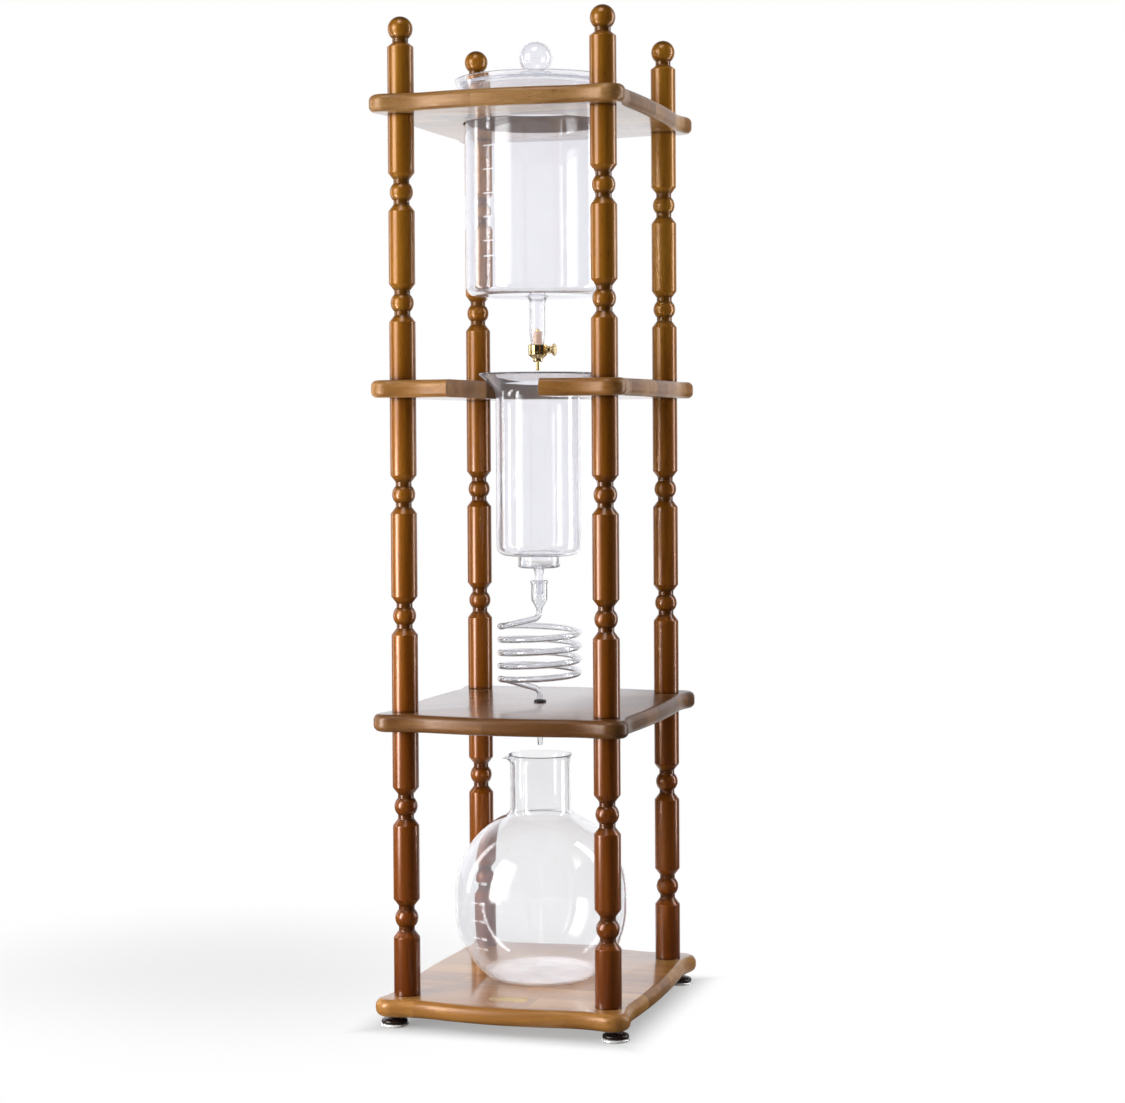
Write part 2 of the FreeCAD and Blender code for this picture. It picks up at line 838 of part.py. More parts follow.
def make_filter_ring():
    """Soft ring with a groove that grips the edge of the ceramic filter."""
    inner = filter_outer_radius - filter_ring_width
    top = filter_seat_z + filter_ring_height
    groove_foot = filter_seat_z + (filter_ring_height - filter_thickness) / 2
    groove_top = groove_foot + filter_thickness
    groove_radius = filter_outer_radius - filter_ring_width / 2
    return turned([
        (inner, filter_seat_z), (filter_outer_radius, filter_seat_z), (filter_outer_radius, top),
        (inner, top), (inner, groove_top), (groove_radius, groove_top),
        (groove_radius, groove_foot), (inner, groove_foot),
    ])


def make_filter_disc():
    foot = filter_seat_z + (filter_ring_height - filter_thickness) / 2
    radius = filter_outer_radius - filter_ring_width / 2 - thread_gap
    return cylinder(radius, foot, foot + filter_thickness)


save("water_tank", make_water_tank())
save("tank_lid", make_tank_lid())
save("coffee_chamber", make_coffee_chamber())
save("filter_ring", make_filter_ring())
save("filter_disc", make_filter_disc())


# ---------------------------------------------------------------------------
# Drip valve: body, stopper, needle, packing and knob
# ---------------------------------------------------------------------------

shank_top_z = valve_top_z + stopper_length + shank_above_stopper
nut_end = boss_reach + packing_nut_length
knob_near = nut_end + knob_standoff
knob_far = knob_near + knob_thickness


def along_x(radius, start, end):
    return Part.makeCylinder(radius, end - start, Vector(start, 0, needle_z), Vector(1, 0, 0))


def hexagon_along_x(across, start, end):
    reach = across / math.sqrt(3)
    points = []
    for step in range(7):
        turn = math.radians(60 * step)
        points.append(Vector(start, reach * math.sin(turn), needle_z + reach * math.cos(turn)))
    return Part.Face(Part.makePolygon(points)).extrude(Vector(end - start, 0, 0))


def make_valve_body():
    body = turned([
        (valve_bore_radius, spout_tip_z),
        (valve_spout_radius, spout_tip_z, valve_spout_round),
        (valve_spout_radius, valve_collar_z),
        (valve_collar_radius, valve_collar_z, valve_collar_round),
        (valve_collar_radius, valve_taper_z, valve_collar_round),
        (valve_cup_radius, valve_cup_z, valve_cup_foot_round),
        (valve_cup_radius, valve_top_z, valve_cup_top_round),
        (valve_shank_radius, valve_top_z),
        (valve_shank_radius, shank_top_z, valve_shank_round),
        (valve_bore_radius, shank_top_z),
    ])
    body = body.fuse(along_x(boss_radius, valve_cup_radius - boss_root, boss_reach))
    needle_bore = along_x(needle_radius + needle_gap, -needle_tip_length, boss_reach)
    channel = cylinder(valve_bore_radius, spout_tip_z, shank_top_z)
    packing = along_x(packing_ring_radius, boss_reach - packing_ring_length, boss_reach)
    return body.cut([needle_bore, channel, packing])


def make_stopper():
    mouth = tank_stem_mouth_radius - tank_stem_wall - thread_gap
    top = valve_top_z + stopper_length
    bore = valve_shank_radius + thread_gap
    return turned([
        (bore, valve_top_z),
        (mouth, valve_top_z),
        (stopper_top_radius, top, stopper_top_round),
        (bore, top),
    ])


def make_needle():
    tip = Part.makeCone(needle_tip_radius, needle_radius, needle_tip_length,
                        Vector(needle_tip_lap - needle_tip_length, 0, needle_z), Vector(1, 0, 0))
    return along_x(needle_radius, needle_tip_lap, knob_far - needle_cover).fuse(tip)


def make_packing_ring():
    start = boss_reach - packing_ring_length
    block = along_x(packing_ring_radius - thread_gap, start, boss_reach)
    return block.cut(along_x(needle_radius + needle_gap, 0, knob_far))


def make_packing_nut():
    nut = hexagon_along_x(packing_nut_across, boss_reach, nut_end)
    return nut.cut(along_x(needle_radius + needle_gap, 0, knob_far))


def make_knob():
    disc_near = knob_far - knob_disc_thickness
    rim = along_x(knob_radius, disc_near, knob_far)
    edges = [edge for edge in rim.Edges if edge.Curve.TypeId == "Part::GeomCircle"]
    knob = rim.makeFillet(knob_edge_round, edges).fuse(along_x(knob_hub_radius, knob_near, knob_far))
    reach = knob_radius + knob_flute_set_out
    start = disc_near - knob_flute_overrun
    length = knob_disc_thickness + 2 * knob_flute_overrun
    flutes = []
    for step in range(knob_flutes):
        turn = 2 * math.pi * step / knob_flutes
        centre = Vector(start, reach * math.cos(turn), needle_z + reach * math.sin(turn))
        flutes.append(Part.makeCylinder(knob_flute_radius, length, centre, Vector(1, 0, 0)))
    bore = along_x(needle_radius + knob_bore_gap, knob_near, knob_far - knob_cap)
    return knob.cut(flutes + [bore])


save("valve_body", make_valve_body())
save("valve_stopper", make_stopper())
save("valve_needle", make_needle())
save("packing_ring", make_packing_ring())
save("packing_nut", make_packing_nut())
save("valve_knob", make_knob())


# ---------------------------------------------------------------------------
# Drip coil: socket, glass tube wound to the right, and drip tip
# ---------------------------------------------------------------------------

coil_slope = math.atan(coil_pitch / (2 * math.pi * coil_radius))


def coil_point(angle):
    """Point and upward direction of the winding, angle in degrees from +X."""
    rise = coil_pitch * (angle - coil_start_angle) / 360
    point = polar(angle, coil_radius, coil_top_z + rise)
    heading = polar(angle + 90, math.cos(coil_slope)) + UP * math.sin(coil_slope)
    return point, heading


def straight(start, end, radius):
    run = end - start
    return Part.makeCylinder(radius, run.Length, start, run)


def disc(centre, normal, radius):
    return Part.Face(Part.Wire(Part.Circle(centre, normal, radius).toShape()))


def bend(corner, before, after, run, radius):
    """Tube bend that rounds a corner; run is the tangent length on each side."""
    turn = before.getAngle(after)
    bend_radius = run / math.tan(turn / 2)
    start = corner - before * run
    axis = before.cross(after).normalize()
    centre = start + axis.cross(before) * bend_radius
    return disc(start, before, radius).revolve(centre, axis, math.degrees(turn))


def coil_tube(radius, foot_z):
    """The whole tube at one radius, from the socket's foot down to foot_z."""
    top_point, top_heading = coil_point(coil_start_angle)
    end_point, end_heading = coil_point(coil_start_angle - 360 * coil_turns)
    top_down = top_heading * -1
    end_down = end_heading * -1
    socket_foot = Vector(0, 0, socket_foot_z)
    upper_axis = Vector(0, 0, coil_top_bend_z)
    lower_axis = Vector(0, 0, coil_bottom_bend_z)
    tube_end = Vector(0, 0, foot_z)
    upper_corner = top_point - top_down * coil_corner
    lower_corner = end_point + end_down * coil_corner
    down = UP * -1
    outward = (upper_corner - upper_axis).normalize()
    inward = (lower_axis - lower_corner).normalize()
    upper_run = axis_bend_radius * math.tan(down.getAngle(outward) / 2)
    lower_run = axis_bend_radius * math.tan(inward.getAngle(down) / 2)

    winding = Part.makeHelix(coil_pitch, coil_pitch * coil_turns, coil_radius)
    winding.rotate(Vector(0, 0, 0), UP, coil_start_angle - 360 * coil_turns)
    winding.translate(UP * coil_bottom_z)
    section = Part.Wire(Part.Circle(end_point, end_heading, radius).toShape())
    pieces = [
        straight(socket_foot, upper_axis - down * upper_run, radius),
        bend(upper_axis, down, outward, upper_run, radius),
        straight(upper_axis + outward * upper_run, upper_corner - outward * coil_corner, radius),
        bend(upper_corner, outward, top_down, coil_corner, radius),
        Part.Wire(winding).makePipeShell([section], True, True),
        bend(lower_corner, end_down, inward, coil_corner, radius),
        straight(lower_corner + inward * coil_corner, lower_axis - inward * lower_run, radius),
        bend(lower_axis, inward, down, lower_run, radius),
        straight(lower_axis + down * lower_run, tube_end, radius),
    ]
    return pieces


def make_drip_coil():
    taper_z = drip_tip_z + drip_tip_taper
    rim_foot_z = socket_top_z - socket_rim_height
    outer_socket = turned([
        (0, socket_foot_z),
        (tube_radius, socket_foot_z),
        (socket_radius, socket_shoulder_z, socket_taper_round),
        (socket_radius, rim_foot_z, socket_rim_foot_round),
        (socket_rim_radius, rim_foot_z, socket_rim_round),
        (socket_rim_radius, socket_top_z, socket_rim_round),
        (0, socket_top_z),
    ])
    inner_radius = socket_radius - socket_wall
    inner_socket = turned([
        (0, socket_foot_z),
        (tube_bore, socket_foot_z),
        (inner_radius, socket_shoulder_z, socket_inner_round),
        (inner_radius, socket_top_z),
        (0, socket_top_z),
    ])
    tip = turned([
        (0, drip_tip_z),
        (drip_tip_radius, drip_tip_z, drip_tip_round),
        (tube_radius, taper_z),
        (0, taper_z),
    ])
    outer = outer_socket.multiFuse(coil_tube(tube_radius, taper_z) + [tip])
    bore = inner_socket.multiFuse(coil_tube(tube_bore, drip_tip_z))
    return outer.cut(bore)


def make_grommet():
    bore = tube_radius + grommet_gap
    top = shelf_top + grommet_flange_height
    return turned([
        (bore, shelf_under),
        (grommet_body_radius, shelf_under),
        (grommet_body_radius, shelf_top),
        (grommet_flange_radius, shelf_top),
        (grommet_flange_radius, top, grommet_flange_round),
        (bore, top),
    ])


save("drip_coil", make_drip_coil())
save("shelf_grommet", make_grommet())


# ---------------------------------------------------------------------------
# Carafe
# ---------------------------------------------------------------------------

def bowl_steps(radius, inset):
    """Outline from the foot to the neck; inset moves it inwards by the wall."""
    corner = carafe_foot_corner - inset
    flat = carafe_foot_z + inset
    corner_z = flat + corner
    low_z = corner_z + math.sqrt((radius - corner) ** 2 - carafe_foot_radius ** 2)
    high_z = low_z + carafe_waist
    neck = carafe_neck_radius - inset
    fillet = carafe_neck_fillet + inset
    fillet_r = neck + fillet
    fillet_z = high_z + math.sqrt((radius + fillet) ** 2 - fillet_r ** 2)

    def on_circle(centre_r, centre_z, size, angle):
        return centre_r + size * math.cos(angle), centre_z + size * math.sin(angle)

    low_angle = math.atan2(corner_z - low_z, carafe_foot_radius)
    high_angle = math.atan2(fillet_z - high_z, fillet_r)
    corner_mid = (low_angle - math.pi / 2) / 2
    fillet_mid = (math.pi + high_angle + math.pi) / 2
    return [
        (carafe_foot_radius, flat),
        on_circle(carafe_foot_radius, corner_z, corner, corner_mid)
        + on_circle(0, low_z, radius, low_angle),
        on_circle(0, low_z, radius, low_angle / 2) + (radius, low_z),
        (radius, high_z),
        on_circle(0, high_z, radius, high_angle / 2) + on_circle(0, high_z, radius, high_angle),
        on_circle(fillet_r, fillet_z, fillet, fillet_mid) + (neck, fillet_z),
    ]


def make_carafe():
    lip = carafe_lip_z

    def filled(inset):
        """The carafe without its spout as one full body, moved inwards by inset."""
        neck = carafe_neck_radius - inset
        steps = [(0, carafe_foot_z + inset)]
        steps += bowl_steps(carafe_radius - inset, inset)
        steps += [
            (neck, lip - carafe_lip_flare),
            (neck + carafe_lip_bend_reach, lip - carafe_lip_bend_drop, neck + carafe_lip_reach, lip),
            (0, lip),
        ]
        return turned(steps)

    aim = polar(carafe_spout_angle, 1)
    end = aim * (carafe_neck_radius + carafe_spout_reach) + UP * (lip + carafe_spout_lift)
    root_z = lip + carafe_spout_lift - carafe_spout_rise
    start = aim * (carafe_neck_radius - carafe_spout_root) + UP * root_z
    run = end - start
    spout = Part.makeCylinder(carafe_spout_radius, run.Length, start, run)
    channel = Part.makeCylinder(carafe_spout_radius - carafe_spout_wall,
                                run.Length + carafe_spout_overrun, start, run)
    above = cylinder(carafe_radius, lip, shelf_under)
    return filled(0).fuse(spout).cut([filled(glass_wall), channel, above])


save("carafe", make_carafe())
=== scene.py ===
import math

import bpy
from mathutils import Matrix, Vector


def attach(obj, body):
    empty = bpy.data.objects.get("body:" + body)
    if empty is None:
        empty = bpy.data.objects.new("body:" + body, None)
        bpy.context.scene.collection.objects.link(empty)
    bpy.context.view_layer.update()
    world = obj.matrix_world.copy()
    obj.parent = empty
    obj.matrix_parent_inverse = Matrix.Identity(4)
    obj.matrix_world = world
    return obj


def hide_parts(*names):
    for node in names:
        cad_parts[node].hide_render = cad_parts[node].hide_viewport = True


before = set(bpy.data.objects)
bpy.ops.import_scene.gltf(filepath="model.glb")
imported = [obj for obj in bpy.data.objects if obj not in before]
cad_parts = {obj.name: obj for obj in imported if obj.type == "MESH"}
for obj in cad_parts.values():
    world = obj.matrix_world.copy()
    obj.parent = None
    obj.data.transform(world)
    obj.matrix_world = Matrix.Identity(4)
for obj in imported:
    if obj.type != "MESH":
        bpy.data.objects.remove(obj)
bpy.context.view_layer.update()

MM = 0.001

# ---------------------------------------------------------------------------
# Sizes of the tower, millimetres
# ---------------------------------------------------------------------------

# Boards: underside and upper face of each, outline, rounded edges and holes
BASE, SHELF, MIDDLE, TOP = 12.5, 324.0, 687.5, 997.0
BOARD = 19.5
BASE_FACE, SHELF_FACE, MIDDLE_FACE, TOP_FACE = BASE + BOARD, SHELF + BOARD, MIDDLE + BOARD, TOP + BOARD
POST_X, POST_Y = 115.0, 127.0
HALF_WIDTH, HALF_DEPTH = POST_X + 29.0, POST_Y + 37.0
LOBE_R, DIP_R = 19.0, 100.0
DIP_DEPTH, SIDE_BULGE, FRONT_BULGE = 5.0, 3.98, 7.95
EDGE_ROUND, BASE_EDGE_ROUND = 7.0, 8.5
GROMMET_HOLE, CHAMBER_HOLE, TANK_HOLE = 5.8, 59.0, 82.5
CHANNEL_HALF = 52.0
CORNERS = {
    "front_left": (-POST_X, -POST_Y),
    "front_right": (POST_X, -POST_Y),
    "back_right": (POST_X, POST_Y),
    "back_left": (-POST_X, POST_Y),
}

# Turned posts: reaches from a bead's middle, insets from a post's end, heights of a finial
POST_R, NECK_R, BEAD_R, BALL_R = 14.5, 8.8, 12.8, 13.75
NECK_REACH, SHOULDER_REACH = 13.6, 21.0
SHORT_INSET, LONG_INSET = 84.5, 105.5
FINIAL_SHAFT, FINIAL_NECK, FINIAL_BALL = 54.0, 58.6, 73.8

# Pockets under the base board for a post's bolt and a levelling foot: radius and depth of the
# wide part, then of the narrow one
BOLT_POCKET = (6.8, 6.0, 3.4, 12.0)
FOOT_POCKET = (5.65, 15.05, 4.3, 18.0)
FOOT_OUT = 11.0

# Plate let into the base board: place and outline, recess, and the steps of its face inwards
# from the rim, as width and rise of each
PLATE_Y, PLATE_HALF, PLATE_END = -121.0, 22.0, 11.0
PLATE_DEPTH, PLATE_GAP, PLATE_THICK = 1.3, 0.12, 1.15
PLATE_STEPS = ((0.25, 0.05), (1.1, 0.0), (0.3, -0.3), (0.3, 0.0))

# Glass: walls, rims, bends and leans of the flares, stems, lid, tube, winding and carafe
WALL = 2.6
SEAT_GAP = 0.3
TANK_R, TANK_RIM_R, TANK_BEND, TANK_LEAN = 80.5, 92.0, 75.0, math.radians(20.0)
TANK_STEM_R, TANK_TIP_R, STEM_WALL = 9.3, 7.6, 1.7
CHAMBER_R, CHAMBER_RIM_R, CHAMBER_BEND, CHAMBER_LEAN = 48.0, 67.3, 22.5, math.radians(48.0)
COLLAR_R, CHAMBER_STEM_R, CHAMBER_BORE_R = 23.8, 4.4, 3.1
VESSEL_ROUND = 12.0
LID_R, LID_RISE, LID_WALL = 86.3, 11.0, 3.0
LID_BALL_R, LID_HOLLOW_R, LID_NECK_R, LID_BORE_R = 18.8, 17.3, 8.0, 5.8
TUBE_R, TUBE_WALL, TIP_R = 3.6, 1.3, 2.9
COIL_R, PITCH, TURNS, START = 44.2, 14.9, 4.02, 205.0
CARAFE_R, CARAFE_NECK_R, CARAFE_FOOT_R = 97.6, 34.2, 52.3
CARAFE_FOOT, CARAFE_LIP = BASE_FACE + SEAT_GAP, SHELF - 39.5
BELT = 16.0
BEAK_AIM, BEAK_SPREAD = math.radians(205.0), math.radians(9.5)
BEAK_REACH, BEAK_DROP, BEAK_RISE = 8.0, 4.2, 10.0

# Printed scales: levels of the marks and the millilitres between two, then their bearing, length
# and height, the height of the figures and how far beside a mark's middle they start
TANK_MARKS = (844.5, 861.5, 888.0, 914.0, 940.5, 966.5)
CARAFE_MARKS = (76.0, 88.0, 107.7, 127.4, 149.5)
MARK_STEP = 500
TANK_PRINT = (math.radians(245.5), 14.5, 1.0, 4.6, 9.5)
CARAFE_PRINT = (math.radians(238.0), 11.0, 0.8, 4.4, 7.8)
PRINT_THICK, PRINT_LIFT = 0.08, 0.02

# Drip valve and levelling feet
VALVE_R = 10.8
SHANK_R, NUT_FOOT = 2.4, 12.6
FLUTES, FLUTE_DEPTH = 20, 0.42
THREAD_TURNS, THREAD_STEP = 13, 1.4

# Staves of a glued board, metres
STAVE_WIDTH, STAVE_LENGTH = 0.047, 0.236

# ---------------------------------------------------------------------------
# Shader maths
# ---------------------------------------------------------------------------


class Value:
    """A number or colour in a finish, with the arithmetic to combine it."""

    def __init__(self, finish, socket):
        self.finish = finish
        self.socket = socket

    def _maths(self, operation, *terms):
        node = self.finish.node("ShaderNodeMath", {"operation": operation}, dict(enumerate(terms)))
        return node[0]

    def __add__(self, other):
        return self._maths("ADD", self, other)

    def __radd__(self, other):
        return self._maths("ADD", other, self)

    def __sub__(self, other):
        return self._maths("SUBTRACT", self, other)

    def __rsub__(self, other):
        return self._maths("SUBTRACT", other, self)

    def __mul__(self, other):
        return self._maths("MULTIPLY", self, other)

    def __rmul__(self, other):
        return self._maths("MULTIPLY", other, self)

    def __truediv__(self, other):
        return self._maths("DIVIDE", self, other)

    def __pow__(self, other):
        return self._maths("POWER", self, other)

    def __gt__(self, other):
        return self._maths("GREATER_THAN", self, other)

    def __abs__(self):
        return self._maths("ABSOLUTE", self)

    def floor(self):
        return self._maths("FLOOR", self)

    def fraction(self):
        return self._maths("FRACT", self)

    def root(self):
        return self._maths("SQRT", self)

    def least(self, other):
        return self._maths("MINIMUM", self, other)

    def most(self, other):
        return self._maths("MAXIMUM", self, other)

    def rise(self, low, high):
        """0 below low, 1 above high, smooth between."""
        node = self.finish.node(
            "ShaderNodeMapRange", {"interpolation_type": "SMOOTHSTEP"},
            {"Value": self, "From Min": low, "From Max": high})
        return node["Result"]


class Node:
    """A node's output sockets by name or number, as values."""

    def __init__(self, finish, node):
        self.finish = finish
        self.node = node

    def __getitem__(self, key):
        return Value(self.finish, self.node.outputs[key])


class Finish:
    """A material or world being built from nodes."""

    def __init__(self, tree):
        self.tree = tree
        tree.nodes.clear()

    def node(self, kind, settings=None, sockets=None):
        made = self.tree.nodes.new(kind)
        for name, value in (settings or {}).items():
            if name == "stops":
                ramp = made.color_ramp
                while len(ramp.elements) < len(value):
                    ramp.elements.new(0.5)
                for stop, (place, colour) in zip(ramp.elements, value):
                    stop.position = place
                    stop.color = (*colour, 1.0)
            else:
                setattr(made, name, value)
        for name, value in (sockets or {}).items():
            if isinstance(value, Value):
                self.tree.links.new(value.socket, made.inputs[name])
            else:
                made.inputs[name].default_value = value
        return Node(self, made)

    def place(self):
        return self.node("ShaderNodeTexCoord")["Object"]

    def split(self, vector):
        node = self.node("ShaderNodeSeparateXYZ", {}, {"Vector": vector})
        return node["X"], node["Y"], node["Z"]

    def joined(self, x, y, z):
        return self.node("ShaderNodeCombineXYZ", {}, {"X": x, "Y": y, "Z": z})["Vector"]

    def scaled(self, vector, x, y, z):
        return self.node("ShaderNodeVectorMath", {"operation": "MULTIPLY"},
                         {0: vector, 1: (x, y, z)})["Vector"]

    def noise(self, vector, scale, detail=2.0, roughness=0.5, distortion=0.0):
        return self.node("ShaderNodeTexNoise", {}, {
            "Vector": vector, "Scale": scale, "Detail": detail,
            "Roughness": roughness, "Distortion": distortion})["Fac"]

    def random(self, vector):
        return self.node("ShaderNodeTexWhiteNoise", {}, {"Vector": vector})["Value"]

    def ramp(self, value, *stops):
        return self.node("ShaderNodeValToRGB", {"stops": stops}, {"Fac": value})["Color"]

    def mix(self, factor, low, high, blend="MIX"):
        node = self.node("ShaderNodeMix", {"data_type": "RGBA", "blend_type": blend},
                         {0: factor, 6: low, 7: high})
        return node[2]

    def bump(self, height, strength, distance):
        return self.node("ShaderNodeBump", {}, {
            "Strength": strength, "Distance": distance, "Height": height})["Normal"]

    def diffuse(self, tone):
        return self.node("ShaderNodeBsdfDiffuse", {}, {"Color": tone})["BSDF"]

    def glow(self, tone):
        return self.node("ShaderNodeEmission", {}, {"Color": tone, "Strength": 1.0})["Emission"]

    def layered(self, share, below, above):
        """Two surfaces in one: share is how much of the second shows."""
        return self.node("ShaderNodeMixShader", {}, {0: share, 1: below, 2: above})["Shader"]

    def output(self, surface, kind="ShaderNodeOutputMaterial"):
        self.node(kind, {}, {"Surface": surface})


def colour(red, green, blue):
    return (red, green, blue, 1.0)


def material(name):
    made = bpy.data.materials.new(name)
    made.use_nodes = True
    return made, Finish(made.node_tree)


def principled(finish, sockets):
    return finish.node("ShaderNodeBsdfPrincipled", {}, sockets)["BSDF"]


# ---------------------------------------------------------------------------
# Finishes
# ---------------------------------------------------------------------------


def staves(f, x, y, seed):
    """Tone of each glued stave of a board, and the dark glue line between two."""
    lane = (y + 0.2) / STAVE_WIDTH
    row = lane.floor()
    start = f.random(f.joined(row, row * 0.0 + seed, row * 0.37))
    piece = ((x + 0.5 + start * 0.31) / STAVE_LENGTH).floor()
    tone = f.random(f.joined(row * 1.7, piece * 2.3, row * 0.0 + seed))
    return row, tone, abs(lane.fraction() - 0.5).rise(0.490, 0.5)


def stain_and_painted_shade(deep):
    """The dark colour of pores and glue joints; it also darkens the posts' necks, and is painted shade
    where a post meets a board and on a board's hole wall.
    """
    return (*[c * 0.3 for c in deep], 1.0)


def painted_seam_shade(z):
    """Painted shade on a post where it meets a board: 1 there, fading within 4 mm."""
    near = 1.0
    for level in (BASE, SHELF, MIDDLE, TOP):
        middle = (level + BOARD / 2) * MM
        near = abs(abs(z - middle) - BOARD / 2 * MM).least(near)
    return 1.0 - near.rise(0.0, 4.0 * MM)


def board_wood(name, tones, seed, level, bore, shine=0.94, fade=0.0):
    """Glued hardwood under varnish, grain along X; level is the board's underside, bore its hole's radius,
    whose wall is darkened as painted shade, shine its polish on the flat faces and fade what the polish
    loses towards the right."""
    made, f = material(name)
    x, y, z = f.split(f.place())
    row, tone, joint = staves(f, x, y, seed)
    colours, height, pore, fine = grain(
        f, f.joined(x * 0.055, y + tone * 3.0, z + row * 0.7), f.joined(x * 0.07, y + tone, z),
        tone, tones)
    # Painted shade: the wall of the board's hole is darkened; the darker glue joints are real.
    inside = 1.0 - (x ** 2.0 + y ** 2.0).root().rise((bore + 0.4) * MM, (bore + 1.2) * MM)
    dark = (joint * 0.3).most(inside * 0.75)
    flat_face = abs(z - (level + BOARD / 2) * MM).rise(8.8 * MM, 9.7 * MM)
    polish = shine * (1.0 - fade * x.rise(0.0, 0.12))
    varnish(f, f.mix(dark, colours, stain_and_painted_shade(tones[0])), height, pore, fine,
            shine=0.35, sheen=0.1, coat=0.03 + polish * flat_face)
    return made


def post_wood(name, tones):
    """Turned hardwood under varnish, grain along Z, redder and darker towards the floor, darker in its
    necks, with painted shade at its foot and where it meets a board.
    """
    made, f = material(name)
    x, y, z = f.split(f.place())
    storey = (z > SHELF * MM) + (z > MIDDLE * MM) + (z > TOP * MM)
    tone = 0.35 + f.random(f.joined((x * 6.0).floor(), (y * 6.0).floor(), storey)) * 0.3
    colours, height, pore, fine = grain(
        f, f.joined(x, y, z * 0.055), f.joined(x, y, z * 0.07), tone, tones)
    colours = f.mix(1.0, colours, f.ramp(z, *POST_TINT_AND_PAINTED_SHADE), "MULTIPLY")
    # Darker in the necks, and painted shade where a post meets a board.
    out = ((abs(x) - POST_X * MM) ** 2.0 + (abs(y) - POST_Y * MM) ** 2.0).root()
    groove = 1.0 - out.rise(9.0 * MM, 12.6 * MM)
    dark = (groove * 0.62).most(painted_seam_shade(z) * 0.6)
    varnish(f, f.mix(dark, colours, stain_and_painted_shade(tones[0])), height, pore, fine, shine=0.22, sheen=0.25, coat=0.5)
    return made


def grain(f, along, pore_place, tone, tones):
    """Colour, relief, pores and fine figure of the wood, drawn out along its grain."""
    broad = f.noise(along, 30.0, 3.0, 0.55, 0.4)
    streak = f.noise(along, 160.0, 4.0, 0.62, 0.6)
    fine = f.noise(along, 620.0, 3.0, 0.6)
    pore = f.noise(pore_place, 1150.0, 1.0, 0.5).rise(0.63, 0.75)
    level = broad * 0.6 + streak * 0.45 + tone * 0.3 - 0.2
    ground = f.ramp(level, *zip((0.18, 0.47, 0.8), tones))
    colours = f.mix(pore * 0.5, ground, stain_and_painted_shade(tones[0]))
    return colours, fine * 0.35 + streak * 0.4 - pore * 0.8, pore, fine


def varnish(f, colours, height, pore, fine, shine, sheen, coat):
    """Stained fibres with a coloured sheen, under a clear coat."""
    f.output(principled(f, {
        "Base Color": colours,
        "Roughness": 0.30 + fine * 0.10 + pore * 0.12,
        "Metallic": sheen,
        "Specular IOR Level": shine,
        "Coat Weight": coat,
        "Coat Roughness": 0.13,
        "Coat IOR": 1.5,
        "Normal": f.bump(height, 0.16, 0.0002),
    }))


def clear_glass(name, tint, film=0.0, wear=0.0, foot=-20.0, gloss=0.04):
    """Borosilicate glass with a thin dried film of water; lamps shine through it.
    Foot is the level that the glass stands on; just above it a whitish ring is painted, a painted glare of
    the thick glass corner."""
    made, f = material(name)
    place = f.place()
    smear_and_painted_shadow = f.noise(place, 22.0, 3.0, 0.6, 0.5)
    body = principled(f, {
        "Base Color": tint,
        "Roughness": 0.0,
        "IOR": 1.47,
        "Specular IOR Level": gloss,
        "Transmission Weight": 1.0,
        "Normal": f.bump(smear_and_painted_shadow, 0.06 + wear, 0.0006),
    })
    dust = f.node("ShaderNodeBsdfTranslucent", {}, {"Color": colour(0.90, 0.90, 0.98)})["BSDF"]
    body = f.layered(film * (0.6 + 0.8 * smear_and_painted_shadow), body, dust)
    _, _, z = f.split(place)
    # Painted glare: a whitish diffuse ring just above the foot, standing in for the light in the thick
    # glass corner.
    ring = (1.0 - z.rise((foot + 2.5) * MM, (foot + 9.0) * MM)) * (0.15 + 0.40 * smear_and_painted_shadow)
    body = f.layered(ring, body, f.diffuse(colour(0.93, 0.92, 0.93)))
    # Rays past seven bounces end in a painted grey-lilac glow instead of black.
    rays = f.node("ShaderNodeLightPath")
    lit = f.layered(rays["Ray Depth"] > 7.0, body, f.glow(colour(0.60, 0.62, 0.68)))
    through = f.node("ShaderNodeBsdfTransparent", {}, {"Color": colour(0.93, 0.935, 0.945)})["BSDF"]
    f.output(f.layered(rays["Is Shadow Ray"], lit, through))
    return made


def metal(name, tone, worn, roughness, scratch=0.3, along=(1.0, 1.0, 1.0), bare=1.0):
    """Metal with fine scratches drawn out along it and duller clouds; bare is how metallic it is."""
    made, f = material(name)
    place = f.scaled(f.place(), *along)
    cloud = f.noise(place, 180.0, 3.0, 0.6)
    hair = f.noise(place, 1900.0, 2.0, 0.6)
    surface = principled(f, {
        "Base Color": f.mix(cloud.rise(0.4, 0.75) * 0.6, colour(*tone), colour(*worn)),
        "Metallic": bare,
        "Roughness": roughness + cloud * 0.1 + hair * 0.05,
        "Normal": f.bump(hair, scratch, 0.00006),
    })
    f.output(surface)
    return made


def soft(name, tone, dusty, roughness, speckle=900.0, strength=0.25, glow=0.0):
    """Rubber, silicone, plastic, ceramic or print; glow is the light let under its skin."""
    made, f = material(name)
    cloud = f.noise(f.place(), 90.0, 3.0, 0.6)
    speck = f.noise(f.place(), speckle, 2.0, 0.6)
    surface = principled(f, {
        "Base Color": f.mix(cloud.rise(0.35, 0.7), colour(*tone), colour(*dusty)),
        "Roughness": roughness + speck * 0.12,
        "Subsurface Weight": glow,
        "Subsurface Radius": (0.004, 0.003, 0.002),
        "Normal": f.bump(speck, strength, 0.00012),
    })
    f.output(surface)
    return made


# What the posts' colour is multiplied by, at heights in metres: redder and darker below the top board, and
# darkest at the posts' feet as painted shade
POST_TINT_AND_PAINTED_SHADE = (
    (0.02, (0.42, 0.24, 0.10)), (0.1, (0.62, 0.42, 0.15)), (0.3, (0.60, 0.44, 0.20)),
    (0.5, (0.64, 0.54, 0.35)), (0.68, (0.68, 0.61, 0.45)), (0.85, (0.95, 1.0, 1.0)),
)

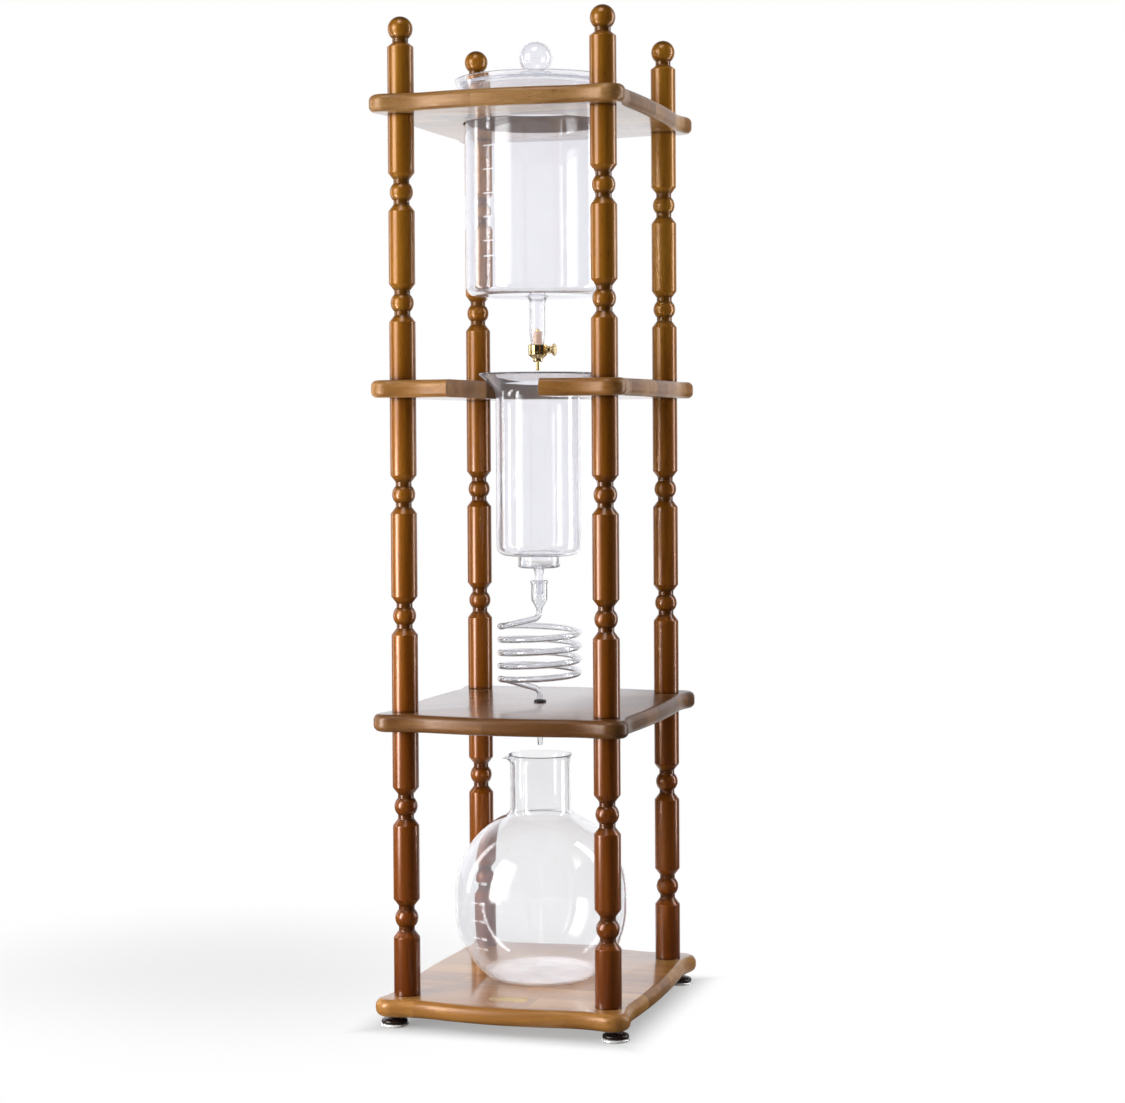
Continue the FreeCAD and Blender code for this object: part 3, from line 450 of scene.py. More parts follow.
# Tones of each wood: deep, warm and pale
POST_WOOD = post_wood(
    "turned_post_wood", ((0.130, 0.036, 0.001), (0.280, 0.098, 0.004), (0.46, 0.20, 0.020)))
BASE_WOOD = board_wood(
    "base_board_wood", ((0.160, 0.058, 0.010), (0.320, 0.140, 0.030), (0.50, 0.27, 0.08)),
    3.0, BASE, 0.0)
SHELF_WOOD = board_wood(
    "lower_shelf_wood", ((0.055, 0.018, 0.004), (0.120, 0.048, 0.012), (0.24, 0.11, 0.036)),
    7.0, SHELF, GROMMET_HOLE + 0.2, shine=0.88, fade=0.75)
MIDDLE_WOOD = board_wood(
    "middle_board_wood", ((0.110, 0.038, 0.006), (0.255, 0.110, 0.024), (0.50, 0.28, 0.10)),
    12.0, MIDDLE, CHAMBER_HOLE)
TOP_WOOD = board_wood(
    "top_board_wood", ((0.105, 0.038, 0.006), (0.240, 0.108, 0.026), (0.48, 0.28, 0.11)),
    20.0, TOP, TANK_HOLE)

VESSEL_GLASS = clear_glass("vessel_glass", colour(0.965, 0.967, 0.980), film=0.04)
CARAFE_GLASS = clear_glass(
    "carafe_glass_clear", colour(0.995, 0.996, 1.0), film=0.055, foot=BASE_FACE, gloss=0.0)
TUBE_GLASS = clear_glass("tube_glass", colour(0.88, 0.885, 0.90), wear=0.02)

BRASS = metal("polished_brass", (0.86, 0.68, 0.36), (0.74, 0.54, 0.24), 0.03)
PLATE_BRASS = metal("plate_brass", (0.74, 0.55, 0.27), (0.60, 0.42, 0.19), 0.26, 0.5, (0.08, 1.0, 1.0))
STEEL = metal("plain_steel", (0.58, 0.58, 0.59), (0.42, 0.42, 0.43), 0.3)
CHROME = metal("foot_chrome", (0.90, 0.89, 0.87), (0.82, 0.81, 0.79), 0.22, 0.15, bare=0.4)

PRINT_WHITE = soft("scale_print", (0.95, 0.95, 0.96), (0.90, 0.90, 0.92), 0.55, 1500.0, 0.1)
HUB = soft("foot_hub_plastic", (0.012, 0.006, 0.005), (0.022, 0.013, 0.011), 0.22, 1200.0, 0.12)
RUBBER = soft("grommet_rubber", (0.012, 0.012, 0.013), (0.026, 0.026, 0.028), 0.45, 800.0, 0.3)
STOPPER = soft("stopper_silicone", (0.74, 0.50, 0.36), (0.68, 0.44, 0.31), 0.4, 700.0, 0.2, 0.35)
SEAL = soft("filter_seal_silicone", (0.80, 0.79, 0.76), (0.72, 0.71, 0.68), 0.42, 700.0, 0.2, 0.3)
CERAMIC = soft("filter_ceramic", (0.82, 0.79, 0.74), (0.70, 0.66, 0.60), 0.8, 1400.0, 0.9)

# ---------------------------------------------------------------------------
# Modelling helpers. Outlines are in millimetres
# ---------------------------------------------------------------------------


def rest():
    """Object mode, with nothing selected."""
    if bpy.context.object and bpy.context.object.mode != "OBJECT":
        bpy.ops.object.mode_set(mode="OBJECT")
    bpy.ops.object.select_all(action="DESELECT")


# The longest step along an arc, as a turn and in millimetres
ARC_TURN, ARC_REACH = math.radians(9), 6


def arc_between(start, middle, end):
    """Points after start, along the arc through middle to end."""
    d = 2 * (start.x * (middle.z - end.z) + middle.x * (end.z - start.z) + end.x * (start.z - middle.z))
    s, m, e = (p.x ** 2 + p.z ** 2 for p in (start, middle, end))
    cx = (s * (middle.z - end.z) + m * (end.z - start.z) + e * (start.z - middle.z)) / d
    cz = (s * (end.x - middle.x) + m * (start.x - end.x) + e * (middle.x - start.x)) / d
    centre = Vector((cx, 0, cz))
    radius = (start - centre).length
    first = math.atan2(start.z - cz, start.x - cx)
    mid = (math.atan2(middle.z - cz, middle.x - cx) - first) % math.tau
    turn = (math.atan2(end.z - cz, end.x - cx) - first) % math.tau
    if mid > turn:
        turn -= math.tau
    steps = max(2, math.ceil(abs(turn) / ARC_TURN), math.ceil(abs(turn) * radius / ARC_REACH))
    angles = (first + turn * step / steps for step in range(1, steps + 1))
    return [centre + Vector((math.cos(angle), 0, math.sin(angle))) * radius for angle in angles]


def outline(items):
    """Points of an outline: (r, z) is a corner, (r, z, radius) a rounded one,
    and (r_mid, z_mid, r, z) an arc through the first point to the second."""

    def end_of(item):
        return Vector((item[-2], 0, item[-1])) if len(item) == 4 else Vector((item[0], 0, item[1]))

    points = []
    for index, item in enumerate(items):
        if len(item) == 4:
            points += arc_between(points[-1], Vector((item[0], 0, item[1])), end_of(item))
            continue
        corner = Vector((item[0], 0, item[1]))
        if len(item) == 2:
            points.append(corner)
            continue
        back = (end_of(items[index - 1]) - corner).normalized()
        ahead = (end_of(items[(index + 1) % len(items)]) - corner).normalized()
        half = back.angle(ahead) / 2
        run = item[2] / math.tan(half)
        middle = corner + (back + ahead).normalized() * (item[2] / math.sin(half) - item[2])
        points.append(corner + back * run)
        points += arc_between(points[-1], middle, corner + ahead * run)
    return points


def draw(name, points, closed):
    """A line of edges through points, left in edit mode and selected all over."""
    rest()
    bpy.ops.mesh.primitive_plane_add(size=0.001, location=(0, 0, 0))
    piece = bpy.context.object
    piece.name = piece.data.name = name
    bpy.ops.object.mode_set(mode="EDIT")
    bpy.ops.mesh.select_mode(type="VERT")
    bpy.ops.mesh.select_all(action="SELECT")
    bpy.ops.mesh.merge(type="CENTER")
    bpy.ops.transform.translate(value=points[0] * MM)
    around = points[1:] + points[:1] if closed else points[1:]
    for before, after in zip(points, around):
        bpy.ops.mesh.extrude_region_move(TRANSFORM_OT_translate={"value": (after - before) * MM})
    bpy.ops.mesh.select_all(action="SELECT")
    return piece


def volume_of(piece):
    """Volume inside the faces; it comes out negative where they point inwards."""
    piece.data.calc_loop_triangles()
    corners = [vertex.co for vertex in piece.data.vertices]
    return sum(corners[a].dot(corners[b].cross(corners[c]))
               for a, b, c in (triangle.vertices for triangle in piece.data.loop_triangles)) / 6


def tidy_mesh(angle=32.0):
    """Merge, turn faces outwards and shade; ends in object mode."""
    bpy.ops.mesh.select_all(action="SELECT")
    bpy.ops.mesh.remove_doubles(threshold=0.000002)
    bpy.ops.mesh.normals_make_consistent(inside=False)
    bpy.ops.object.mode_set(mode="OBJECT")
    if volume_of(bpy.context.object) < 0:
        bpy.ops.object.mode_set(mode="EDIT")
        bpy.ops.mesh.flip_normals()
        bpy.ops.object.mode_set(mode="OBJECT")
    bpy.ops.object.shade_smooth_by_angle(angle=math.radians(angle))


def turned(name, items, closed=True, steps=96, angle=32.0):
    """A piece turned about Z."""
    piece = draw(name, outline(items), closed)
    bpy.ops.mesh.spin(steps=steps, angle=math.tau, center=(0, 0, 0), axis=(0, 0, 1))
    tidy_mesh(angle)
    return piece


def choose(piece):
    """Select one piece alone and make it the active one."""
    rest()
    piece.select_set(True)
    bpy.context.view_layer.objects.active = piece


def settle(piece):
    """Apply the piece's place so that its object sits at the origin."""
    choose(piece)
    bpy.ops.object.transform_apply(location=True, rotation=True, scale=True)
    return piece


def shift(piece, x=0.0, y=0.0, z=0.0):
    """Move a piece by millimetres."""
    piece.location = Vector((x, y, z)) * MM
    return settle(piece)


def twin(piece, name, x, y, z):
    """A copy of a piece with its own mesh, moved."""
    made = piece.copy()
    made.data = piece.data.copy()
    made.name = made.data.name = name
    bpy.context.collection.objects.link(made)
    return shift(made, x, y, z)


def lay_along_x(piece, level):
    """Turn a piece made about Z so that it lies along X at a level."""
    piece.rotation_euler = (0, math.radians(90), 0)
    return shift(piece, z=level)


def modify(piece, kind, **settings):
    """Give a piece one modifier and apply it."""
    choose(piece)
    modifier = piece.modifiers.new(kind.lower(), kind)
    for name, value in settings.items():
        setattr(modifier, name, value)
    bpy.ops.object.modifier_apply(modifier=modifier.name)
    return piece


def cut(piece, *cutters):
    """Take cutters away from a piece, and remove them."""
    for cutter in cutters:
        modify(piece, "BOOLEAN", operation="DIFFERENCE", solver="EXACT", object=cutter)
        bpy.data.objects.remove(cutter)
    return piece


def join(piece, *others):
    """Make others part of a piece."""
    rest()
    for other in others:
        other.select_set(True)
    piece.select_set(True)
    bpy.context.view_layer.objects.active = piece
    bpy.ops.object.join()
    return piece


def finished(piece, finish, body, slot, *nodes):
    """Give a piece its finish and its body, and hide the CAD nodes it stands for; slot is not used."""
    piece.data.materials.clear()
    piece.data.materials.append(finish)
    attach(piece, body)
    if nodes:
        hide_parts(*nodes)
    return piece


# ---------------------------------------------------------------------------
# Boards
# ---------------------------------------------------------------------------

# How far a cutter stands out of the wood
CLEAR = 5.0


def toward(start, end, distance):
    """The point at a distance from start towards end."""
    return start + (end - start).normalized() * distance


def side_points(along, out, lobe_u, lobe_v, bulge):
    """Dips and bulge of one side, from its first corner lobe to its second."""

    def place(u, v):
        return along * u + out * v

    both = DIP_R + LOBE_R
    dip_u = lobe_u - math.sqrt(both ** 2 - (both - DIP_DEPTH) ** 2)
    dip_v = lobe_v + LOBE_R - DIP_DEPTH + DIP_R
    bulge_r = (dip_u ** 2 + bulge ** 2) / (2 * bulge) - DIP_R
    centre_v = lobe_v + LOBE_R - DIP_DEPTH + bulge - bulge_r
    marks = []
    for way in (-1, 1):
        dip_centre = place(way * dip_u, dip_v)
        outer = toward(place(way * lobe_u, lobe_v), dip_centre, LOBE_R)
        inner = toward(place(0, centre_v), dip_centre, bulge_r)
        marks.append((outer, toward(dip_centre, (outer + inner) / 2, DIP_R), inner))
    (a0, a1, a2), (b0, b1, b2) = marks
    return [a0, (a1, a2), (place(0, centre_v + bulge_r), b2), (b1, b0)]


def board_outline():
    """The wavy outline of every board, in the XY plane."""
    lobe_x, lobe_y = HALF_WIDTH - LOBE_R, HALF_DEPTH - LOBE_R
    east, north = Vector((1, 0, 0)), Vector((0, 0, 1))
    sides = [
        side_points(north, east, lobe_y, lobe_x, SIDE_BULGE),
        side_points(-east, north, lobe_x, lobe_y, FRONT_BULGE),
        side_points(-north, -east, lobe_y, lobe_x, SIDE_BULGE),
        side_points(east, -north, lobe_x, lobe_y, FRONT_BULGE),
    ]
    lobes = [(lobe_x, lobe_y), (-lobe_x, lobe_y), (-lobe_x, -lobe_y), (lobe_x, -lobe_y)]
    points = [sides[0][0]]
    for index, side in enumerate(sides):
        for middle, end in side[1:]:
            points += arc_between(points[-1], middle, end)
        centre = Vector((lobes[index][0], 0, lobes[index][1]))
        following = sides[(index + 1) % 4][0]
        points += arc_between(points[-1], toward(centre, (points[-1] + following) / 2, LOBE_R), following)
    return [Vector((p.x, p.z, 0)) for p in points[:-1]]


def board(name, bottom, rounding=EDGE_ROUND):
    """A board with its wavy outline and rounded edges."""
    piece = draw(name, board_outline(), True)
    bpy.ops.mesh.remove_doubles(threshold=0.00001)
    bpy.ops.mesh.edge_face_add()
    bpy.ops.mesh.extrude_region_move(TRANSFORM_OT_translate={"value": (0, 0, BOARD * MM)})
    bpy.ops.mesh.select_mode(type="EDGE")
    bpy.ops.mesh.select_all(action="DESELECT")
    bpy.ops.object.mode_set(mode="OBJECT")
    for edge in piece.data.edges:
        ends = [piece.data.vertices[v].co.z for v in edge.vertices]
        edge.select = abs(ends[0] - ends[1]) < 0.0001
    bpy.ops.object.mode_set(mode="EDIT")
    bpy.ops.mesh.bevel(offset=rounding * MM, segments=9, profile=0.5, affect="EDGES")
    tidy_mesh(40.0)
    return shift(piece, z=bottom)


def hole(radius, bottom, ease=0.5):
    """Cutter for a round hole through a board, with its edges eased."""
    top = bottom + BOARD
    under, over = bottom - CLEAR, top + CLEAR
    return turned("cutter", [
        (0, under), (radius + ease, under), (radius + ease, bottom), (radius, bottom + ease),
        (radius, top - ease), (radius + ease, top), (radius + ease, over), (0, over),
    ], False, 128)


def pocket(size, x, y):
    """Cutter for a round pocket in the base board's underside, with a narrower one above it."""
    wide, depth, narrow, deeper = size
    return shift(turned("cutter", [
        (0, BASE - CLEAR), (wide, BASE - CLEAR), (wide, BASE + depth), (narrow, BASE + depth),
        (narrow, BASE + deeper), (0, BASE + deeper),
    ], False, 64), x, y)


def block(low, high):
    """A box between two corners."""
    rest()
    bpy.ops.mesh.primitive_cube_add(size=1.0, location=[(a + b) / 2 * MM for a, b in zip(low, high)])
    piece = bpy.context.object
    piece.scale = [(b - a) * MM for a, b in zip(low, high)]
    return settle(piece)


def plate_blank(name, grow, height):
    """A slab with the plate's outline, left in edit mode with its top face selected."""
    piece = draw(name, plate_rim(grow), True)
    bpy.ops.mesh.remove_doubles(threshold=0.000005)
    bpy.ops.mesh.edge_face_add()
    bpy.ops.mesh.extrude_region_move(TRANSFORM_OT_translate={"value": (0, 0, height * MM)})
    return piece


def make_boards():
    base = board("base_board", BASE, BASE_EDGE_ROUND)
    recess = plate_blank("cutter", PLATE_GAP, CLEAR)
    tidy_mesh()
    cut(base, shift(recess, z=BASE_FACE - PLATE_DEPTH))
    for x, y in ((-1, -1), (1, -1), (1, 1), (-1, 1)):
        cut(base, pocket(BOLT_POCKET, x * POST_X, y * POST_Y),
            pocket(FOOT_POCKET, x * (POST_X + FOOT_OUT), y * (POST_Y + FOOT_OUT)))
    shelf = cut(board("lower_shelf_board", SHELF), hole(GROMMET_HOLE, SHELF, 0.3))
    middle = board("middle_board", MIDDLE)
    channel = block((-CHANNEL_HALF, -200, MIDDLE - CLEAR), (CHANNEL_HALF, 0, MIDDLE_FACE + CLEAR))
    cut(middle, hole(CHAMBER_HOLE, MIDDLE), channel)
    top = cut(board("top_board", TOP), hole(TANK_HOLE, TOP))
    for piece, finish, slot, node in (
        (base, BASE_WOOD, "base_board", "base_plate"),
        (shelf, SHELF_WOOD, "shelf_board", "lower_shelf"),
        (middle, MIDDLE_WOOD, "middle_board", "middle_plate"),
        (top, TOP_WOOD, "top_board", "top_plate"),
    ):
        choose(piece)
        bpy.ops.object.shade_smooth_by_angle(angle=math.radians(30))
        finished(piece, finish, "frame", slot, node)


# ---------------------------------------------------------------------------
# Plate let into the base board
# ---------------------------------------------------------------------------


def plate_rim(grow):
    """Outline of the plate, with two round ends, grown by a gap."""
    radius = PLATE_END + grow
    straight = PLATE_HALF - PLATE_END
    points = []
    for side, first in ((1, -90), (-1, 90)):
        for step in range(25):
            turn = math.radians(first + 180 * step / 24)
            points.append(Vector((side * straight + radius * math.cos(turn),
                                  PLATE_Y + radius * math.sin(turn), 0)))
    return points


def make_plate():
    piece = plate_blank("blank_plate", 0, PLATE_THICK)
    for width, rise in PLATE_STEPS:
        bpy.ops.mesh.inset(thickness=width * MM, depth=rise * MM)
    tidy_mesh(25.0)
    shift(piece, z=BASE_FACE - PLATE_DEPTH)
    finished(piece, PLATE_BRASS, "frame", "plate_brass", "name_plate")


# ---------------------------------------------------------------------------
# Posts and finials
# ---------------------------------------------------------------------------


def bead(middle):
    """A bead between two necks, and the slopes back to the full post."""
    half = math.sqrt(BEAD_R ** 2 - NECK_R ** 2)
    return [
        (POST_R, middle - SHOULDER_REACH, 1.5), (NECK_R, middle - NECK_REACH, 1.5),
        (NECK_R, middle - half), (BEAD_R, middle, NECK_R, middle + half),
        (NECK_R, middle + NECK_REACH, 1.5), (POST_R, middle + SHOULDER_REACH, 1.5),
    ]


def post(name, length, inset):
    return turned(name, [(0, 0), (POST_R, 0, 0.6)] + bead(inset) + bead(length - inset)
                  + [(POST_R, length, 0.6), (0, length)], False, 64)


def finial(name):
    ball_foot = FINIAL_BALL - math.sqrt(BALL_R ** 2 - NECK_R ** 2)
    return turned(name, [
        (0, 0), (POST_R, 0, 0.6), (POST_R, FINIAL_SHAFT, 1.0), (NECK_R, FINIAL_NECK, 1.2),
        (NECK_R, ball_foot), (BALL_R, FINIAL_BALL, 0, FINIAL_BALL + BALL_R),
    ], False, 64)


def make_posts():
    rows = (
        ("lower_post", "turned_post", post("pattern_low", SHELF - BASE_FACE, SHORT_INSET), BASE_FACE),
        ("middle_post", "turned_post", post("pattern_mid", MIDDLE - SHELF_FACE, LONG_INSET), SHELF_FACE),
        ("upper_post", "turned_post", post("pattern_up", TOP - MIDDLE_FACE, SHORT_INSET), MIDDLE_FACE),
        ("finial", "turned_finial", finial("pattern_finial"), TOP_FACE),
    )
    for row, slot, pattern, bottom in rows:
        for corner, (x, y) in CORNERS.items():
            piece = twin(pattern, "turned_" + row + "_" + corner, x, y, bottom)
            finished(piece, POST_WOOD, "frame", slot, row + "_" + corner)
        bpy.data.objects.remove(pattern)


# ---------------------------------------------------------------------------
# Glass
# ---------------------------------------------------------------------------


def flare_seat(wall_r, bend, lean, seat_r):
    """Height of a flare's outside at seat_r above its corner."""
    reach = seat_r - wall_r
    if reach > bend * (1 - math.cos(lean)):
        return reach / math.tan(lean)
    return math.sqrt(2 * bend * reach - reach ** 2) - bend * math.tan(lean / 2)


def flare(wall_r, corner_z, bend, lean, rim_r):
    """Outline up the outside of a flared wall, over its rim and down inside."""
    rim_z = rim_level(corner_z, wall_r, rim_r, lean)
    edge = WALL / 2 - 0.1
    return [
        (wall_r, corner_z, bend), (rim_r, rim_z, edge),
        (rim_r - WALL * math.cos(lean), rim_z + WALL * math.sin(lean), edge),
        (wall_r - WALL, corner_z + WALL * math.tan(lean / 2), bend + WALL),
    ]


def rim_level(corner, wall_r, rim_r, lean):
    """Height of a flare's outer rim, from the height of its corner."""
    return corner + (rim_r - wall_r) / math.tan(lean)


# Levels up the coil, from the lower shelf to the chamber's floor
LOW_BEND = SHELF_FACE + 14.0
COIL_LOW = LOW_BEND + 12.5
COIL_TOP = COIL_LOW + PITCH * TURNS
HIGH_BEND = COIL_TOP + 9.0
SOCKET_FOOT = HIGH_BEND + 10.0
SOCKET_TOP = SOCKET_FOOT + 32.0
STEM_TIP = SOCKET_TOP - 15.0
COLLAR = STEM_TIP + 30.0
CHAMBER_FLOOR = COLLAR + 13.6

# Levels where the flared glasses bend and end, from the boards that they hang in
CHAMBER_CORNER = MIDDLE_FACE - flare_seat(
    CHAMBER_R, CHAMBER_BEND, CHAMBER_LEAN, CHAMBER_HOLE - SEAT_GAP)
CHAMBER_RIM = rim_level(CHAMBER_CORNER, CHAMBER_R, CHAMBER_RIM_R, CHAMBER_LEAN)
TANK_CORNER = TOP_FACE - flare_seat(TANK_R, TANK_BEND, TANK_LEAN, TANK_HOLE - SEAT_GAP)
TANK_RIM = rim_level(TANK_CORNER, TANK_R, TANK_RIM_R, TANK_LEAN)

# Levels up the drip valve, from the chamber's rim to the tank's floor
SPOUT_TIP = CHAMBER_RIM + 4.2
VALVE_COLLAR = SPOUT_TIP + 9.8
VALVE_TAPER = VALVE_COLLAR + 3.8
VALVE_CUP = VALVE_TAPER + 3.6
VALVE_TOP = VALVE_CUP + 12.2
NEEDLE = VALVE_TOP - 6.1
STEM_TAPER = VALVE_TOP + 14.0
SHANK_TOP = VALVE_TOP + 17.6
TANK_FLOOR = VALVE_TOP + 54.5


def make_tank():
    stem_bore, mouth_bore = TANK_STEM_R - STEM_WALL, TANK_TIP_R - STEM_WALL
    tank = turned("water_tank_glass", [
        (TANK_TIP_R, VALVE_TOP, 0.5), (TANK_STEM_R, STEM_TAPER, 6), (TANK_STEM_R, TANK_FLOOR, 7),
        (TANK_R, TANK_FLOOR, VESSEL_ROUND),
    ] + flare(TANK_R, TANK_CORNER, TANK_BEND, TANK_LEAN, TANK_RIM_R) + [
        (TANK_R - WALL, TANK_FLOOR + WALL, VESSEL_ROUND - WALL), (stem_bore, TANK_FLOOR + WALL, 5),
        (stem_bore, STEM_TAPER, 6), (mouth_bore, VALVE_TOP, 0.5),
    ], True, 160)
    finished(tank, VESSEL_GLASS, "tank", "tank_glass", "water_tank")


def wrap(piece, radius, turn, level):
    """Wrap a flat drawing, made in the XY plane, on to an upright wall."""
    for vertex in piece.data.vertices:
        angle = turn + vertex.co.x / (radius * MM)
        out = (radius + PRINT_LIFT) * MM + vertex.co.z
        vertex.co = (out * math.cos(angle), out * math.sin(angle), level * MM + vertex.co.y)


def bar(name, length, height, radius, turn, level):
    """A printed line, thin and flat, wrapped on to a round wall."""
    rest()
    bpy.ops.mesh.primitive_grid_add(x_subdivisions=12, y_subdivisions=1, size=MM, location=(0, 0, 0))
    piece = bpy.context.object
    piece.name = piece.data.name = name
    piece.scale = (length, height, 1)
    settle(piece)
    modify(piece, "SOLIDIFY", thickness=PRINT_THICK * MM, offset=1.0)
    wrap(piece, radius, turn, level)
    return piece


def figures(name, text, height, radius, turn, level):
    """Small printed figures of a measuring scale."""
    rest()
    bpy.ops.object.text_add(location=(0, 0, 0))
    piece = bpy.context.object
    piece.data.body = text
    piece.data.size = height * MM
    piece.data.align_x = "LEFT"
    piece.data.align_y = "CENTER"
    piece.data.extrude = PRINT_THICK / 2 * MM
    piece.data.resolution_u = 3
    bpy.ops.object.convert(target="MESH")
    piece = bpy.context.object
    piece.name = piece.data.name = name
    for vertex in piece.data.vertices:
        vertex.co.z += PRINT_THICK / 2 * MM
    wrap(piece, radius, turn, level)
    bpy.ops.object.mode_set(mode="EDIT")
    bpy.ops.mesh.select_all(action="SELECT")
    bpy.ops.mesh.remove_doubles(threshold=0.0000005)
    bpy.ops.object.mode_set(mode="OBJECT")
    return piece


def mark_at(index, level, radius, turn, length, height, figure, beside):
    """A printed mark and the figures beside it."""
    return (
        bar("mark", length, height, radius, turn, level),
        figures("figure", str(MARK_STEP * (index + 1)), figure, radius, turn + beside / radius, level),
    )


def scale_of(name, parts, body, slot):
    """Join marks and figures to one printed scale."""
    scale = join(*parts)
    scale.name = scale.data.name = name
    finished(scale, PRINT_WHITE, body, slot)


def make_tank_scale():
    parts = []
    for index, level in enumerate(TANK_MARKS):
        parts += mark_at(index, level, TANK_R, *TANK_PRINT)
    scale_of("tank_scale", parts, "tank", "tank_glass")


def make_lid():
    mouth_r = TANK_RIM_R - WALL * math.cos(TANK_LEAN)
    foot = (TANK_RIM + WALL * math.sin(TANK_LEAN)
            - (mouth_r - LID_R - SEAT_GAP) / math.tan(TANK_LEAN))
    dome = (LID_R ** 2 + LID_RISE ** 2) / (2 * LID_RISE)

    def under(r):
        return foot + LID_RISE - dome + math.sqrt(dome ** 2 - r ** 2)

    half_way = LID_R / 2
    neck_foot = under(LID_NECK_R) + LID_WALL
    neck_top = neck_foot + 2.0
    ball_z = neck_top + math.sqrt(LID_BALL_R ** 2 - LID_NECK_R ** 2)
    hollow_foot = ball_z - math.sqrt(LID_HOLLOW_R ** 2 - LID_BORE_R ** 2)
    lid = turned("tank_lid_glass", [
        (0, ball_z + LID_HOLLOW_R), (LID_HOLLOW_R, ball_z, LID_BORE_R, hollow_foot),
        (LID_BORE_R, under(LID_BORE_R)), (half_way, under(half_way), LID_R - 1.2, foot),
        (LID_R, foot, 0.6), (LID_R, foot + LID_WALL, 1.2),
        (half_way, under(half_way) + LID_WALL, LID_NECK_R + 2.5, neck_foot - 0.2),
        (LID_NECK_R + 0.4, neck_foot + 0.4), (LID_NECK_R, neck_top),
        (LID_BALL_R, ball_z, 0, ball_z + LID_BALL_R),
    ], False, 128)
    finished(lid, VESSEL_GLASS, "lid", "lid_glass", "tank_lid")


def make_chamber():
    shoulder = COLLAR - 10.0
    collar_bore = COLLAR_R - WALL
    chamber = turned("coffee_chamber_glass", [
        (CHAMBER_STEM_R, STEM_TIP, 0.5), (CHAMBER_STEM_R, shoulder, 6), (6.4, COLLAR, 1),
        (COLLAR_R, COLLAR, 3), (COLLAR_R, CHAMBER_FLOOR, 1.2), (CHAMBER_R, CHAMBER_FLOOR, VESSEL_ROUND),
    ] + flare(CHAMBER_R, CHAMBER_CORNER, CHAMBER_BEND, CHAMBER_LEAN, CHAMBER_RIM_R) + [
        (CHAMBER_R - WALL, CHAMBER_FLOOR + WALL, VESSEL_ROUND - WALL),
        (collar_bore, CHAMBER_FLOOR + WALL, 1), (collar_bore, COLLAR + WALL, 1),
        (CHAMBER_BORE_R, COLLAR + WALL, 1), (CHAMBER_BORE_R, STEM_TIP, 0.5),
    ], True, 144)
    finished(chamber, VESSEL_GLASS, "chamber", "chamber_glass", "coffee_chamber")


def make_filter():
    """A stone disc, gripped in the groove of a soft ring that sits in the chamber's collar."""
    seat, top = COLLAR + WALL + SEAT_GAP, COLLAR + WALL + SEAT_GAP + 4.0
    outer = COLLAR_R - WALL - SEAT_GAP
    inner, groove = outer - 2.6, outer - 1.3
    ring = turned("filter_seal", [
        (inner, seat, 0.5), (outer, seat, 0.8), (outer, top, 0.8), (inner, top, 0.5),
        (inner, top - 0.4), (groove, top - 0.4), (groove, seat + 0.4), (inner, seat + 0.4),
    ], True, 96)
    finished(ring, SEAL, "filter", "ring_silicone", "filter_ring")
    edge = groove - 0.03
    disc = turned("filter_stone", [
        (0, seat + 0.4), (edge, seat + 0.4), (edge, top - 0.4, 0.5), (outer - 4.5, top - 0.65),
        (0, top - 0.7),
    ], False, 96)
    finished(disc, CERAMIC, "filter", "filter_ceramic", "filter_disc")


# ---------------------------------------------------------------------------
# Drip coil
# ---------------------------------------------------------------------------


# The socket's outside above the tube: radius of each ring and its rise over the last
SOCKET = (
    (4.18, 1.0), (5.92, 3.0), (7.6, 3.0), (8.5, 1.6), (9.0, 1.0), (9.3, 0.9), (9.4, 1.0),
    (9.4, 17.5), (10.4, 0.3), (10.6, 0.5), (10.6, 1.3), (10.4, 0.5), (10.1, 0.4),
)


def grown(centre, axis, angle, steps, rise=0.0):
    """Carry the selected ring round an axis, with a rise at each step for a winding."""
    if not rise:
        bpy.ops.mesh.spin(steps=steps, angle=-angle, center=centre * MM, axis=axis)
        return
    for _ in range(steps):
        bpy.ops.mesh.spin(steps=1, angle=-angle / steps, center=centre * MM, axis=axis)
        bpy.ops.transform.translate(value=(0, 0, rise / steps * MM))


def pulled(move, size=1.0, centre=None):
    """Extrude the selected ring by a move and scale it about its own middle."""
    bpy.ops.mesh.extrude_region_move(TRANSFORM_OT_translate={"value": move * MM})
    if size != 1.0:
        bpy.ops.transform.resize(value=(size, size, 1.0), center_override=centre * MM)


def on_winding(degrees):
    """Point of the winding at a bearing, and the way it heads there."""
    turn = math.radians(degrees)
    slope = math.atan(PITCH / (math.tau * COIL_R))
    level = COIL_TOP + PITCH * (degrees - START) / 360
    point = Vector((COIL_R * math.cos(turn), COIL_R * math.sin(turn), level))
    return point, Vector((-math.sin(turn) * math.cos(slope), math.cos(turn) * math.cos(slope),
                          math.sin(slope)))


def bent(corner, before, after, run, steps):
    """Carry the selected ring round a corner of the tube; run is how far before it the bend starts."""
    axis = before.cross(after).normalized()
    radius = run / math.tan(before.angle(after) / 2)
    centre = corner - before * run + axis.cross(before) * radius
    grown(centre, axis, before.angle(after), steps)


